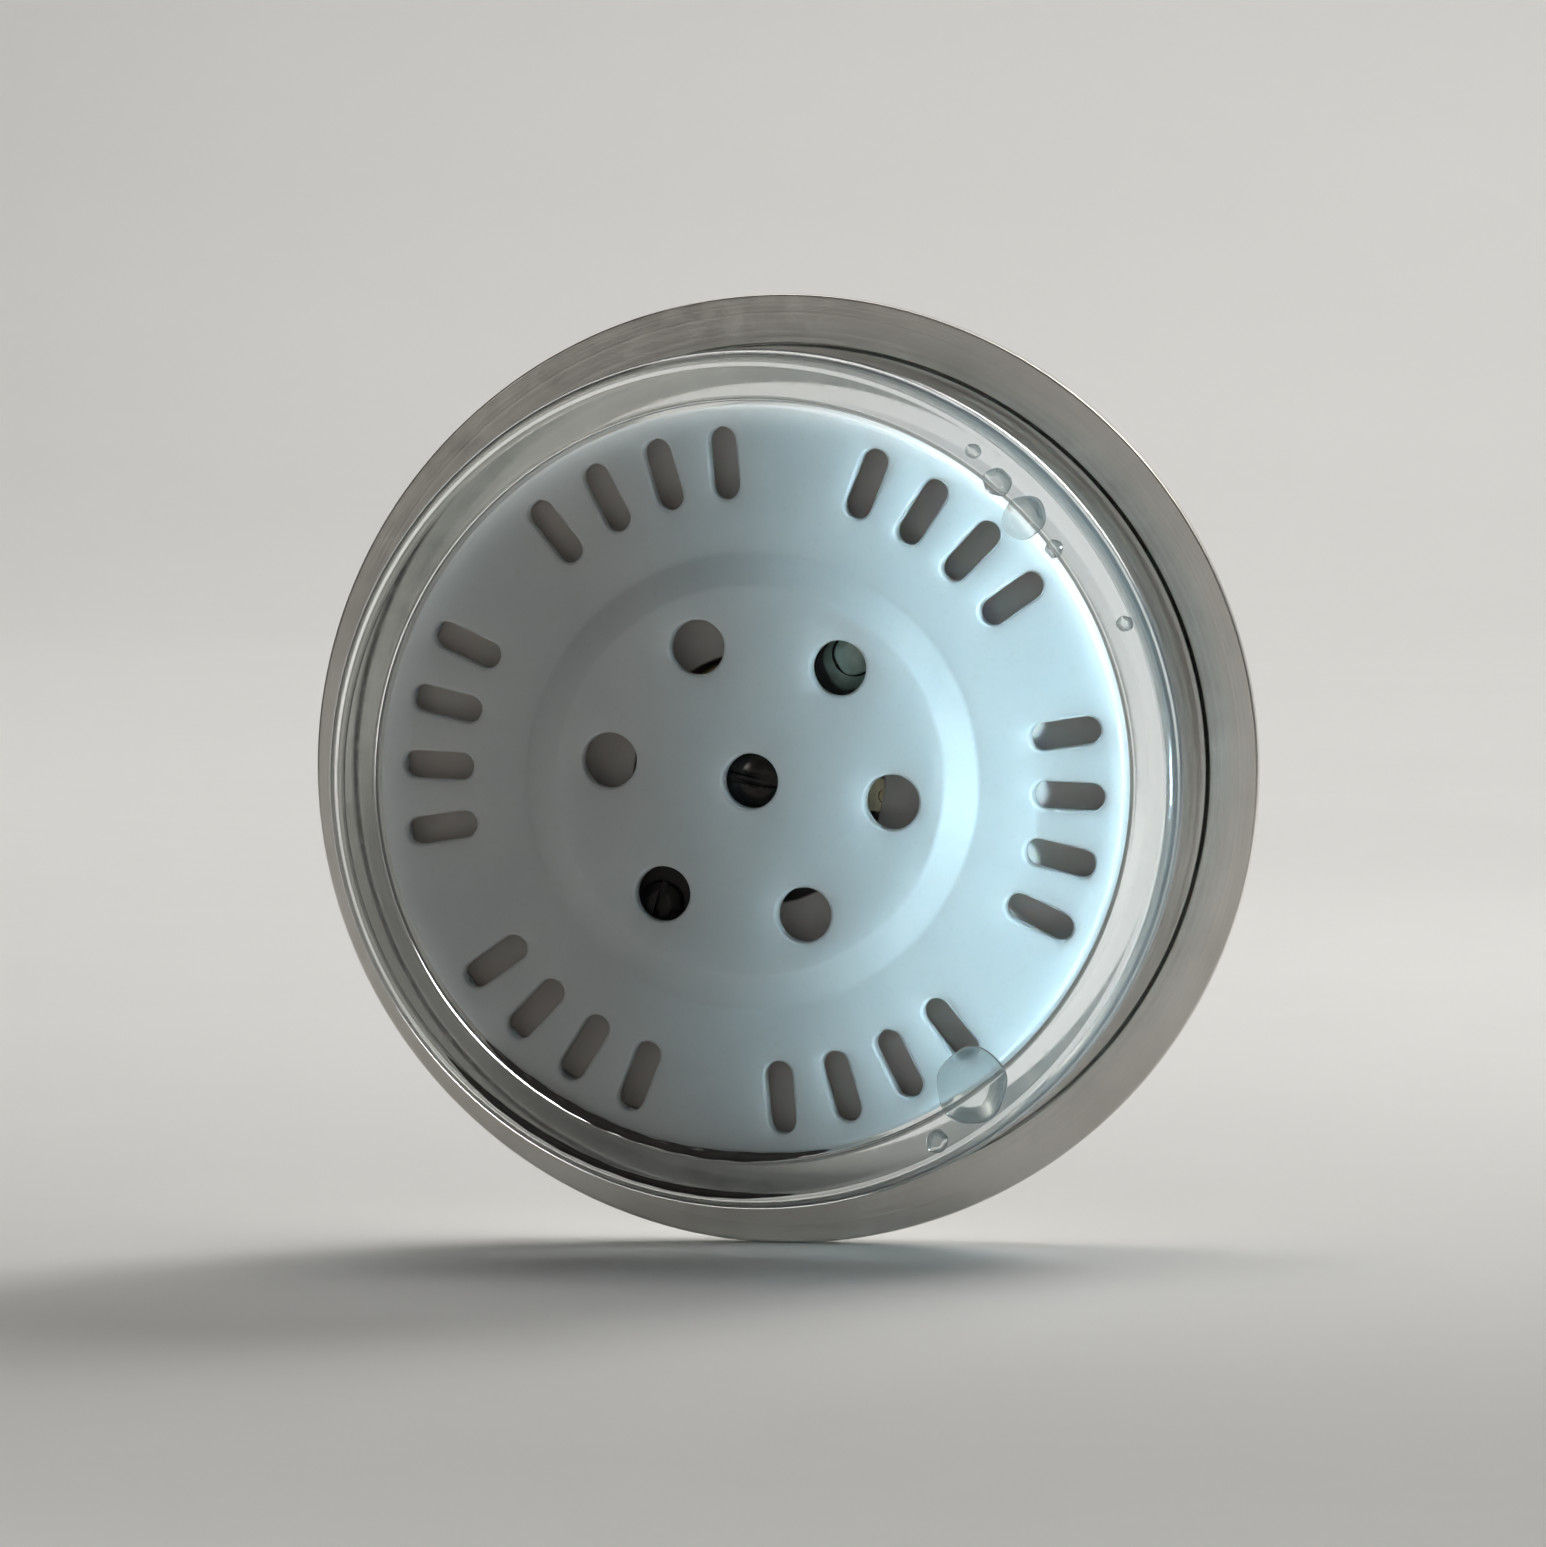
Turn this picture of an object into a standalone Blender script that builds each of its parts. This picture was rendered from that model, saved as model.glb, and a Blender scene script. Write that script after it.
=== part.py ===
"""Dial hygrometer for a panel hole: Blender model of every piece, at real size.

Frame: the dial faces -Y, 12 o'clock is +Z, and +X is to the right of someone who reads the dial.
The origin is the centre of the bezel flange's rear face, where it rests on the panel, so the
barrel runs from there towards +Y. Angles are in degrees from +X towards +Z, except readings,
which are clockwise from 12 o'clock. All lengths below are in millimetres.
"""
import math

import bmesh
import bpy
from mathutils import Matrix

MM = 0.001

# ---- driving dimensions -------------------------------------------------------------------
BARREL_D = 34.0
BORE_D = 29.9
CASE_FRONT_Y = -2.0
CASE_REAR_Y = 9.4
WINDOW_THICK = 1.2
WINDOW_SAG = 0.5
RIM_ROUND = 0.8

BEZEL_D = 38.0
BEZEL_CREST_Y = -2.9
BEZEL_LIP_D = 31.0

COVER_D = 29.6
COVER_WALL = 1.2
SKIRT_WALL = 0.7
COVER_FACE_Y = 9.35
RAISED_TOP_D = 15.4
RAISED_BASE_D = 18.0
RAISED_HEIGHT = 0.6

VENT_TURN = 8.0
VENT_GROUPS = 6
VENT_HOLE_D = 2.2
VENT_CIRCLE_D = 11.34
SLOTS_PER_GROUP = 4
SLOT_PITCH = 11.25
SLOT_INNER_R = 11.1
SLOT_OUTER_R = 14.0
SLOT_WIDTH = 1.1

SPACER_INNER_D = 26.4
BAFFLE_HOLE_D = 10.0
BAFFLE_REAR_Y = 7.45
BAFFLE_THICK = 0.4
BAFFLE_WALL = 0.6
BAFFLE_GAP = 0.5
CEMENT_D = 3.2
CEMENT_ANGLE = 233.8

DIAL_FACE_Y = 2.0
DIAL_THICK = 0.4
DIAL_HOLE_R = 1.45
DIAL_SCREW_R = 6.5
STOP_PIN_R = 8.5

PLATE_D = 19.2
PLATE_THICK = 0.6
BRIDGE_ANGLE = VENT_TURN + 120.0
PILLAR_R = 6.3
BRIDGE_FRONT_Y = 7.0
BRIDGE_THICK = 0.6
BRIDGE_WIDTH = 4.0

COIL_INNER_R = 1.35
COIL_OUTER_R = 4.9
COIL_TURNS = 4.75
COIL_FRONT_Y = 3.7
COIL_WIDTH = 2.6
STRIP_THICK = 0.12
FILM_THICK = 0.08
ARM_ANGLE = VENT_TURN + 180.0
STUD_R = COIL_OUTER_R + 0.1

POINTER_LENGTH = 11.0
POINTER_TAIL = 3.0
POINTER_FRONT_Y = 0.9
POINTER_THICK = 0.2
SCALE_SWEEP = 260.0
REST_READING = 70.0

FIT = 0.05
RIM_SEGMENTS = 72
SMALL_SEGMENTS = 24

READING_ANGLE = (REST_READING - 50.0) * SCALE_SWEEP / 100.0
PLATE_FRONT_Y = DIAL_FACE_Y + DIAL_THICK + FIT
PLATE_REAR_Y = PLATE_FRONT_Y + PLATE_THICK
BRIDGE_REAR_Y = BRIDGE_FRONT_Y + BRIDGE_THICK


# ---- helpers ------------------------------------------------------------------------------
def clear_scene():
    for old in list(bpy.data.objects):
        bpy.data.objects.remove(old, do_unlink=True)


def material(name, color, roughness, metallic=0.0, transmission=0.0):
    """A Principled material, made once for each name."""
    found = bpy.data.materials.get(name)
    if found:
        return found
    made = bpy.data.materials.new(name)
    made.use_nodes = True
    shader = made.node_tree.nodes["Principled BSDF"]
    shader.inputs["Base Color"].default_value = (*color, 1.0)
    shader.inputs["Roughness"].default_value = roughness
    shader.inputs["Metallic"].default_value = metallic
    shader.inputs["Transmission Weight"].default_value = transmission
    made.diffuse_color = (*color, 1.0)
    return made


def add_object(name, mesh_data, surface=None, sharp=30.0):
    """Turn a bmesh in millimetres into an object in metres, and shade it."""
    bmesh.ops.scale(mesh_data, vec=(MM, MM, MM), verts=mesh_data.verts)
    mesh = bpy.data.meshes.new(name)
    mesh_data.to_mesh(mesh)
    mesh_data.free()
    mesh.shade_smooth()
    mesh.set_sharp_from_angle(angle=math.radians(sharp))
    made = bpy.data.objects.new(name, mesh)
    bpy.context.collection.objects.link(made)
    if surface:
        mesh.materials.append(surface)
    return made


def arc(center, radius, start, end, steps):
    """Points (radius, y) of an arc, from one angle to another in degrees."""
    points = []
    for i in range(steps + 1):
        angle = math.radians(start + (end - start) * i / steps)
        points.append((center[0] + radius * math.cos(angle), center[1] + radius * math.sin(angle)))
    return points


def dome(edge_r, edge_y, sag, steps):
    """Points (radius, y) of a shallow dome, from its edge to its top on the axis."""
    return [
        (edge_r * (1.0 - i / steps), edge_y - sag * (1.0 - (1.0 - i / steps) ** 2))
        for i in range(steps + 1)
    ]


def turned_mesh(profile, segments):
    """Spin a closed outline of (radius, y) points about the Y axis."""
    made = bmesh.new()
    ring = [made.verts.new((r, y, 0.0)) for r, y in profile]
    edges = [made.edges.new((ring[i], ring[(i + 1) % len(ring)])) for i in range(len(ring))]
    bmesh.ops.spin(
        made, geom=ring + edges, cent=(0, 0, 0), axis=(0, 1, 0),
        angle=math.tau, steps=segments, use_merge=True, use_duplicate=False,
    )
    bmesh.ops.remove_doubles(made, verts=made.verts, dist=0.0005)
    bmesh.ops.recalc_face_normals(made, faces=made.faces)
    return made


def turned(name, profile, surface, segments=SMALL_SEGMENTS):
    return add_object(name, turned_mesh(profile, segments), surface)


def disc_profile(radius, front, rear, hole=0.0, chamfer=0.0):
    """Outline of a disc, or of a ring when hole is given, with its outer edges chamfered."""
    outer = [(radius, front), (radius, rear)]
    if chamfer:
        outer = [
            (radius - chamfer, front), (radius, front + chamfer),
            (radius, rear - chamfer), (radius - chamfer, rear),
        ]
    return [(hole, front)] + outer + [(hole, rear)]


def extruded_mesh(outline, front, rear):
    """A flat outline of (x, z) points, extruded from y = front to y = rear."""
    made = bmesh.new()
    face = made.faces.new([made.verts.new((x, front, z)) for x, z in outline])
    grown = bmesh.ops.extrude_face_region(made, geom=[face])
    moved = [part for part in grown["geom"] if isinstance(part, bmesh.types.BMVert)]
    bmesh.ops.translate(made, verts=moved, vec=(0, rear - front, 0))
    bmesh.ops.recalc_face_normals(made, faces=made.faces)
    return made


def stadium(length, width, steps):
    """A round-ended bar outline centred on the origin, long side along X."""
    half = length / 2.0 - width / 2.0
    right = [(half + p[0], p[1]) for p in arc((0, 0), width / 2.0, -90, 90, steps)]
    left = [(-half + p[0], p[1]) for p in arc((0, 0), width / 2.0, 90, 270, steps)]
    return right + left


def polar(radius, degrees):
    """A place on the dial plane, in millimetres."""
    angle = math.radians(degrees)
    return radius * math.cos(angle), radius * math.sin(angle)


def place(thing, radius, degrees):
    """Move an object out from the axis and turn its X side outwards."""
    x, z = polar(radius, degrees)
    thing.location = (x * MM, 0.0, z * MM)
    thing.rotation_euler = (0.0, -math.radians(degrees), 0.0)
    return thing


def joined_cutter(name, meshes):
    """One hidden guide object out of several closed shapes."""
    whole = bmesh.new()
    for part in meshes:
        data = bpy.data.meshes.new("cutter_part")
        part.to_mesh(data)
        part.free()
        whole.from_mesh(data)
        bpy.data.meshes.remove(data)
    guide = add_object(name, whole)
    guide.hide_render = True
    guide.display_type = "WIRE"
    return guide


def cut(thing, guide):
    """Subtract the guide from an object with a Boolean modifier."""
    guide.parent = thing
    step = thing.modifiers.new(guide.name, "BOOLEAN")
    step.operation = "DIFFERENCE"
    step.solver = "EXACT"
    step.object = guide
    normals = thing.modifiers.new("flat_faces_shade_flat", "WEIGHTED_NORMAL")
    normals.keep_sharp = True
    return thing


def moved_mesh(mesh_data, radius, degrees):
    """Place one cutter shape out from the axis, its X side outwards."""
    x, z = polar(radius, degrees)
    turn = Matrix.Rotation(-math.radians(degrees), 4, "Y")
    bmesh.ops.transform(mesh_data, matrix=Matrix.Translation((x, 0, z)) @ turn, verts=mesh_data.verts)
    return mesh_data


def hole_mesh(radius, front, rear, segments=SMALL_SEGMENTS):
    return turned_mesh(disc_profile(radius, front, rear), segments)


def slotted_screw(name, surface, head_r, head_front, head_rear, shank_r, shank_end, slot_width):
    """A cheese-head screw along Y. The slot is cut in the face of the head away from the shank."""
    chamfer = 0.12
    outward = 1.0 if head_rear > head_front else -1.0
    profile = [
        (0.0, shank_end), (shank_r, shank_end), (shank_r, head_front), (head_r, head_front),
        (head_r, head_rear - outward * chamfer), (head_r - chamfer, head_rear), (0.0, head_rear),
    ]
    screw = turned(name, profile, surface)
    depth = 0.45 * abs(head_rear - head_front)
    slot = extruded_mesh(
        [(-2 * head_r, -slot_width / 2), (2 * head_r, -slot_width / 2),
         (2 * head_r, slot_width / 2), (-2 * head_r, slot_width / 2)],
        head_rear - outward * depth, head_rear + outward * depth,
    )
    return cut(screw, joined_cutter(name + "_slot", [slot]))


# ---- materials ----------------------------------------------------------------------------
def clear_plastic():
    return material("clear_plastic", (0.92, 0.95, 0.95), 0.08, 0.0, 0.9)


def white_plastic():
    return material("white_plastic", (0.66, 0.71, 0.72), 0.42)


def ivory_plastic():
    return material("ivory_plastic", (0.82, 0.79, 0.70), 0.4)


def brass():
    return material("brass", (0.62, 0.48, 0.30), 0.32, 1.0)


def nickel_plate():
    return material("nickel_plate", (0.72, 0.70, 0.66), 0.14, 1.0)


def dull_aluminium():
    return material("dull_aluminium", (0.60, 0.56, 0.53), 0.5, 0.9)


def steel():
    return material("steel", (0.56, 0.57, 0.58), 0.3, 1.0)


def black_steel():
    return material("black_steel", (0.03, 0.03, 0.032), 0.45, 0.6)


def bronze():
    return material("bronze", (0.46, 0.33, 0.20), 0.35, 1.0)


def film():
    return material("moisture_film", (0.42, 0.44, 0.33), 0.7)


def dial_white():
    return material("dial_white", (0.88, 0.86, 0.80), 0.5)


def black_paint():
    return material("black_paint", (0.02, 0.02, 0.02), 0.35)


# ---- case ---------------------------------------------------------------------------------
def make_clear_case():
    """Clear cup: domed window, straight barrel and a rounded rear rim."""
    outer_r = BARREL_D / 2.0
    bore_r = BORE_D / 2.0
    window_r = BEZEL_LIP_D / 2.0 - 0.2
    window_rear = CASE_FRONT_Y + WINDOW_THICK
    profile = dome(window_r, CASE_FRONT_Y, WINDOW_SAG, 6)[::-1]
    profile += [(outer_r - 0.2, CASE_FRONT_Y), (outer_r, CASE_FRONT_Y + 0.2)]
    profile += arc((outer_r - RIM_ROUND, CASE_REAR_Y - RIM_ROUND), RIM_ROUND, 0, 90, 5)
    profile += [(bore_r + 0.3, CASE_REAR_Y), (bore_r, CASE_REAR_Y - 0.3)]
    profile += dome(bore_r, window_rear, WINDOW_SAG, 6)
    return turned("clear_case", profile, clear_plastic(), RIM_SEGMENTS)


def make_bezel_ring():
    """Pressed ring over the case's front edge. Its flat rear face rests on the panel."""
    outer_r = BEZEL_D / 2.0
    inner_r = BARREL_D / 2.0 + 1.5 * FIT
    lip_r = BEZEL_LIP_D / 2.0
    lip_rear = CASE_FRONT_Y - FIT
    crest_r = 16.6
    rim_height = 0.6
    shoulder = [
        (crest_r + (outer_r - crest_r) * math.sin(math.radians(a)),
         -rim_height + (BEZEL_CREST_Y + rim_height) * math.cos(math.radians(a)))
        for a in range(0, 91, 15)
    ]
    profile = [(inner_r, 0.0), (inner_r, lip_rear), (lip_r, lip_rear), (lip_r, lip_rear - 0.35)]
    profile += shoulder + [(outer_r, 0.0)]
    return turned("bezel_ring", profile, nickel_plate(), RIM_SEGMENTS)


def make_spacer_ring():
    """Sloped ring that holds the dial back from the window."""
    outer_r = COVER_D / 2.0
    front = CASE_FRONT_Y + WINDOW_THICK + 1.6 * FIT
    rear = DIAL_FACE_Y - FIT
    profile = [(14.0, front), (outer_r, front), (outer_r, rear), (SPACER_INNER_D / 2.0, rear)]
    return turned("spacer_ring", profile, ivory_plastic(), RIM_SEGMENTS)


def make_baffle_plate():
    """Shallow cup that stands on the dial inside the cover's skirt, close behind the slots.

    Its opening leaves the coil free and has room for the bridge.
    """
    outer_r = COVER_D / 2.0 - SKIRT_WALL - FIT
    hole_r = BAFFLE_HOLE_D / 2.0
    front = DIAL_FACE_Y + DIAL_THICK + FIT
    floor_y = BAFFLE_REAR_Y - BAFFLE_THICK
    wall_r = outer_r - BAFFLE_WALL
    profile = [
        (wall_r, front), (outer_r, front), (outer_r, BAFFLE_REAR_Y), (hole_r, BAFFLE_REAR_Y),
        (hole_r, floor_y), (wall_r, floor_y),
    ]
    plate = turned("baffle_plate", profile, ivory_plastic(), RIM_SEGMENTS)
    length = 2.0 * PILLAR_R + 2.8 + 2.0 * BAFFLE_GAP
    outline = stadium(length, BRIDGE_WIDTH + 2.0 * BAFFLE_GAP, 8)
    opening = extruded_mesh(outline, floor_y - 1.0, BAFFLE_REAR_Y + 1.0)
    return cut(plate, joined_cutter("bridge_opening", [moved_mesh(opening, 0.0, BRIDGE_ANGLE)]))


def make_rear_cover():
    """Vented cup: flat rim face, raised centre, holes, radial slots and a skirt to the dial."""
    outer_r = COVER_D / 2.0
    skirt_r = outer_r - SKIRT_WALL
    front = DIAL_FACE_Y + DIAL_THICK + FIT
    raised_y = COVER_FACE_Y + RAISED_HEIGHT
    step_in = 0.35
    profile = [
        (skirt_r, front), (outer_r, front), (outer_r, COVER_FACE_Y - 0.2), (outer_r - 0.2, COVER_FACE_Y),
        (RAISED_BASE_D / 2.0, COVER_FACE_Y), (RAISED_TOP_D / 2.0, raised_y), (0.0, raised_y),
        (0.0, raised_y - COVER_WALL), (RAISED_TOP_D / 2.0 - step_in, raised_y - COVER_WALL),
        (RAISED_BASE_D / 2.0 - step_in, COVER_FACE_Y - COVER_WALL), (skirt_r, COVER_FACE_Y - COVER_WALL),
    ]
    cover = turned("rear_cover", profile, white_plastic(), RIM_SEGMENTS)
    front_cut = COVER_FACE_Y - 2.0
    rear_cut = raised_y + 1.0
    shapes = [hole_mesh(VENT_HOLE_D / 2.0, front_cut, rear_cut, 16)]
    for group in range(VENT_GROUPS):
        middle = VENT_TURN + group * 360.0 / VENT_GROUPS
        hole = hole_mesh(VENT_HOLE_D / 2.0, front_cut, rear_cut, 16)
        shapes.append(moved_mesh(hole, VENT_CIRCLE_D / 2.0, middle))
        for i in range(SLOTS_PER_GROUP):
            angle = middle + (i - (SLOTS_PER_GROUP - 1) / 2.0) * SLOT_PITCH
            bar = extruded_mesh(stadium(SLOT_OUTER_R - SLOT_INNER_R, SLOT_WIDTH, 5), front_cut, rear_cut)
            shapes.append(moved_mesh(bar, (SLOT_INNER_R + SLOT_OUTER_R) / 2.0, angle))
    return cut(cover, joined_cutter("vent_cuts", shapes))


def make_cement_spot():
    """Drop of clear cement that bridges the cover's edge and the case's rim."""
    radius = CEMENT_D / 2.0
    seat = CASE_REAR_Y + FIT
    profile = [(0.0, seat), (radius, seat)] + dome(radius, seat + 0.1, -0.35, 4)
    spot = turned("cement_spot", profile, clear_plastic(), 20)
    return place(spot, COVER_D / 2.0, CEMENT_ANGLE)


# ---- dial and movement frame --------------------------------------------------------------
def make_dial_plate():
    profile = disc_profile(COVER_D / 2.0, DIAL_FACE_Y, DIAL_FACE_Y + DIAL_THICK, DIAL_HOLE_R)
    dial = turned("dial_plate", profile, dial_white(), RIM_SEGMENTS)
    holes = [moved_mesh(hole_mesh(0.6, 1.0, 4.0, 16), DIAL_SCREW_R, a) for a in (0.0, 180.0)]
    holes.append(moved_mesh(hole_mesh(0.38, 1.0, 4.0, 16), STOP_PIN_R, -90.0))
    return cut(dial, joined_cutter("dial_holes", holes))


def make_dial_screws():
    for name, angle in (("dial_screw_right", 0.0), ("dial_screw_left", 180.0)):
        screw = slotted_screw(
            name, brass(), 1.0, DIAL_FACE_Y - FIT, DIAL_FACE_Y - 0.6, 0.42, PLATE_REAR_Y - 0.1, 0.3)
        place(screw, DIAL_SCREW_R, angle)


def make_stop_pin():
    pin = turned("stop_pin", disc_profile(0.28, 0.55, PLATE_REAR_Y - 0.1, 0.0, 0.08), brass(), 16)
    place(pin, STOP_PIN_R, -90.0)


def make_movement_plate():
    """Round plate behind the dial that carries the bearing, the pillars and the screws."""
    profile = disc_profile(PLATE_D / 2.0, PLATE_FRONT_Y, PLATE_REAR_Y, 1.02)
    plate = turned("movement_plate", profile, dull_aluminium(), 48)
    low = PLATE_FRONT_Y - 1.0
    high = PLATE_REAR_Y + 1.0
    holes = [moved_mesh(hole_mesh(0.5, low, high, 16), DIAL_SCREW_R, a) for a in (0.0, 180.0)]
    holes.append(moved_mesh(hole_mesh(0.34, low, high, 16), STOP_PIN_R, -90.0))
    for side in (0.0, 180.0):
        holes.append(moved_mesh(hole_mesh(0.56, low, high, 16), PILLAR_R, BRIDGE_ANGLE + side))
    return cut(plate, joined_cutter("plate_holes", holes))


def make_front_bearing():
    profile = [
        (0.42, DIAL_FACE_Y + 0.1), (0.95, DIAL_FACE_Y + 0.1), (0.95, PLATE_REAR_Y + FIT),
        (1.6, PLATE_REAR_Y + FIT), (1.6, PLATE_REAR_Y + 0.35), (0.42, PLATE_REAR_Y + 0.35),
    ]
    return turned("front_bearing", profile, brass())


def make_pillars():
    """Turned pillars with a spigot in the plate and a threaded hole for the bridge screw."""
    top = BRIDGE_FRONT_Y - FIT
    profile = [
        (0.0, PLATE_FRONT_Y + FIT), (0.5, PLATE_FRONT_Y + FIT), (0.5, PLATE_REAR_Y + FIT),
        (0.9, PLATE_REAR_Y + FIT), (0.9, top), (0.46, top), (0.46, top - 2.0), (0.0, top - 2.0),
    ]
    for name, side in (("pillar_upper", 0.0), ("pillar_lower", 180.0)):
        place(turned(name, profile, brass(), 20), PILLAR_R, BRIDGE_ANGLE + side)


def make_bridge():
    """Blackened strip across the back of the movement."""
    length = 2.0 * PILLAR_R + 2.8
    blank = extruded_mesh(stadium(length, BRIDGE_WIDTH, 8), BRIDGE_FRONT_Y, BRIDGE_REAR_Y)
    bridge = add_object("bridge", blank, black_steel())
    low = BRIDGE_FRONT_Y - 1.0
    high = BRIDGE_REAR_Y + 1.0
    holes = [hole_mesh(1.02, low, high)]
    holes += [moved_mesh(hole_mesh(0.56, low, high, 16), PILLAR_R, a) for a in (0.0, 180.0)]
    cut(bridge, joined_cutter("bridge_holes", holes))
    bridge.rotation_euler = (0.0, -math.radians(BRIDGE_ANGLE), 0.0)
    return bridge


def make_bridge_screws():
    for name, side in (("bridge_screw_upper", 0.0), ("bridge_screw_lower", 180.0)):
        screw = slotted_screw(
            name, black_steel(), 0.9, BRIDGE_REAR_Y + FIT, BRIDGE_REAR_Y + 0.6, 0.4,
            BRIDGE_FRONT_Y - 1.8, 0.28)
        place(screw, PILLAR_R, BRIDGE_ANGLE + side)


def make_friction_washer():
    """Dished spring washer between the bridge and the calibration screw's head."""
    front = BRIDGE_REAR_Y + FIT
    profile = [(1.02, front + 0.1), (1.6, front), (1.6, front + 0.12), (1.02, front + 0.22)]
    return turned("friction_washer", profile, steel())


# ---- calibrator ---------------------------------------------------------------------------
def make_calibration_screw():
    """Slotted boss that turns in the bridge. Its front end holds the rear bearing."""
    head_front = BRIDGE_REAR_Y + 0.35
    head_rear = head_front + 0.6
    profile = [
        (0.62, 6.45), (0.95, 6.45), (0.95, head_front), (1.75, head_front),
        (1.75, head_rear - 0.2), (1.55, head_rear), (0.0, head_rear), (0.0, 7.75), (0.62, 7.75),
    ]
    boss = turned("calibration_screw", profile, black_steel())
    slot = extruded_mesh(
        [(-2.5, -0.22), (2.5, -0.22), (2.5, 0.22), (-2.5, 0.22)], head_rear - 0.35, head_rear + 1.0)
    cut(boss, joined_cutter("calibration_slot", [slot]))
    boss.rotation_euler = (0.0, -math.radians(ARM_ANGLE), 0.0)
    return boss


def make_rear_bearing():
    return turned("rear_bearing", disc_profile(0.57, 6.5, 7.65, 0.27), brass())


def make_coil_arm():
    """Flat arm from the calibration screw out to the coil's stud."""
    reach = STUD_R
    hub = [(p[0], p[1]) for p in arc((0, 0), 1.9, 20, 340, 20)]
    tip = [(reach + p[0], p[1]) for p in arc((0, 0), 0.65, -90, 90, 8)]
    arm = add_object("coil_arm", extruded_mesh(hub + tip, 6.5, 6.8), brass())
    holes = [hole_mesh(1.0, 6.0, 7.5), moved_mesh(hole_mesh(0.3, 6.0, 7.5, 12), reach, 0.0)]
    cut(arm, joined_cutter("arm_holes", holes))
    arm.rotation_euler = (0.0, -math.radians(ARM_ANGLE), 0.0)
    return arm


def make_coil_stud():
    """Forked stud: the coil's outer end lies in the fork."""
    profile = [(0.0, 3.6), (0.5, 3.6), (0.5, 6.45), (0.25, 6.45), (0.25, 6.9), (0.0, 6.9)]
    stud = turned("coil_stud", profile, brass(), 16)
    fork = extruded_mesh([(-0.25, -1.0), (0.15, -1.0), (0.15, 1.0), (-0.25, 1.0)], 3.0, 6.35)
    cut(stud, joined_cutter("stud_fork", [fork]))
    return place(stud, STUD_R, ARM_ANGLE)


def spiral_band(name, offset, thickness, surface):
    """A flat band wound into a spiral that ends at the stud, offset outwards by some distance."""
    steps = int(COIL_TURNS * 32)
    made = bmesh.new()
    rings = []
    for i in range(steps + 1):
        part = i / steps
        angle = ARM_ANGLE - 360.0 * COIL_TURNS * (1.0 - part)
        radius = COIL_INNER_R + (COIL_OUTER_R - COIL_INNER_R) * part + offset
        ring = []
        for side, y in ((0, 0), (1, 0), (1, 1), (0, 1)):
            x, z = polar(radius + side * thickness, angle)
            ring.append(made.verts.new((x, COIL_FRONT_Y + y * COIL_WIDTH, z)))
        rings.append(ring)
    for near, far in zip(rings, rings[1:]):
        for k in range(4):
            made.faces.new((near[k], near[(k + 1) % 4], far[(k + 1) % 4], far[k]))
    made.faces.new(rings[0])
    made.faces.new(rings[-1])
    bmesh.ops.recalc_face_normals(made, faces=made.faces)
    return add_object(name, made, surface)


def make_coil():
    """Two bonded layers: a bronze strip, and the moisture-sensitive film on its outer face."""
    strip = spiral_band("coil_strip", 0.0, STRIP_THICK, bronze())
    layer = spiral_band("moisture_film", STRIP_THICK + 0.02, FILM_THICK, film())
    return [strip, layer]


# ---- pointer assembly, made with the hand at 12 o'clock ------------------------------------
def make_arbor():
    """Steel staff: hub seat, front journal, collet seat and rear pivot."""
    profile = [
        (0.0, 0.4), (0.3, 0.4), (0.3, 1.95), (0.36, 1.95), (0.36, 3.5), (0.55, 3.5),
        (0.55, 6.3), (0.22, 6.3), (0.22, 7.5), (0.0, 7.5),
    ]
    return turned("arbor", profile, steel(), 20)


def make_coil_collet():
    """Split collar on the arbor for the coil's inner end."""
    collet = turned("coil_collet", disc_profile(1.15, 3.9, 6.1, 0.6), brass(), 20)
    split = extruded_mesh([(0.3, -0.12), (2.0, -0.12), (2.0, 0.12), (0.3, 0.12)], 3.0, 7.0)
    return cut(collet, joined_cutter("collet_split", [split]))


def pointer_outline():
    """Tapered hand towards +Z with a waist at the hub and a round counterweight below it."""
    tip = 0.08
    waist = 0.42
    blade = [(waist, 1.0), (tip, POINTER_LENGTH), (-tip, POINTER_LENGTH), (-waist, 1.0)]
    hub_left = arc((0, 0), 1.15, 115, 245, 8)
    weight = [(p[0], -POINTER_TAIL + p[1]) for p in arc((0, 0), 0.8, 150, 390, 12)]
    hub_right = arc((0, 0), 1.15, 295, 425, 8)
    return blade + hub_left + weight + hub_right


def make_pointer():
    hand = add_object(
        "pointer", extruded_mesh(pointer_outline(), POINTER_FRONT_Y, POINTER_FRONT_Y + POINTER_THICK),
        black_paint())
    return cut(hand, joined_cutter("pointer_hole", [hole_mesh(0.6, 0.0, 2.0)]))


def make_pointer_hub():
    """Pipe pressed on the arbor, with a collar behind the hand."""
    collar = POINTER_FRONT_Y + POINTER_THICK + FIT
    profile = [
        (0.34, 0.35), (0.54, 0.35), (0.54, collar), (1.1, collar),
        (1.1, collar + 0.3), (0.54, collar + 0.3), (0.54, 1.85), (0.34, 1.85),
    ]
    return turned("pointer_hub", profile, brass())


def make_pointer_cap():
    """Domed cap over the end of the hub."""
    rear = POINTER_FRONT_Y - FIT
    rim = rear - 0.3
    profile = dome(1.3, rim, 0.6, 5)[::-1]
    profile += [(1.3, rear), (0.6, rear), (0.6, 0.3), (0.0, 0.3)]
    return turned("pointer_cap", profile, nickel_plate())


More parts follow.
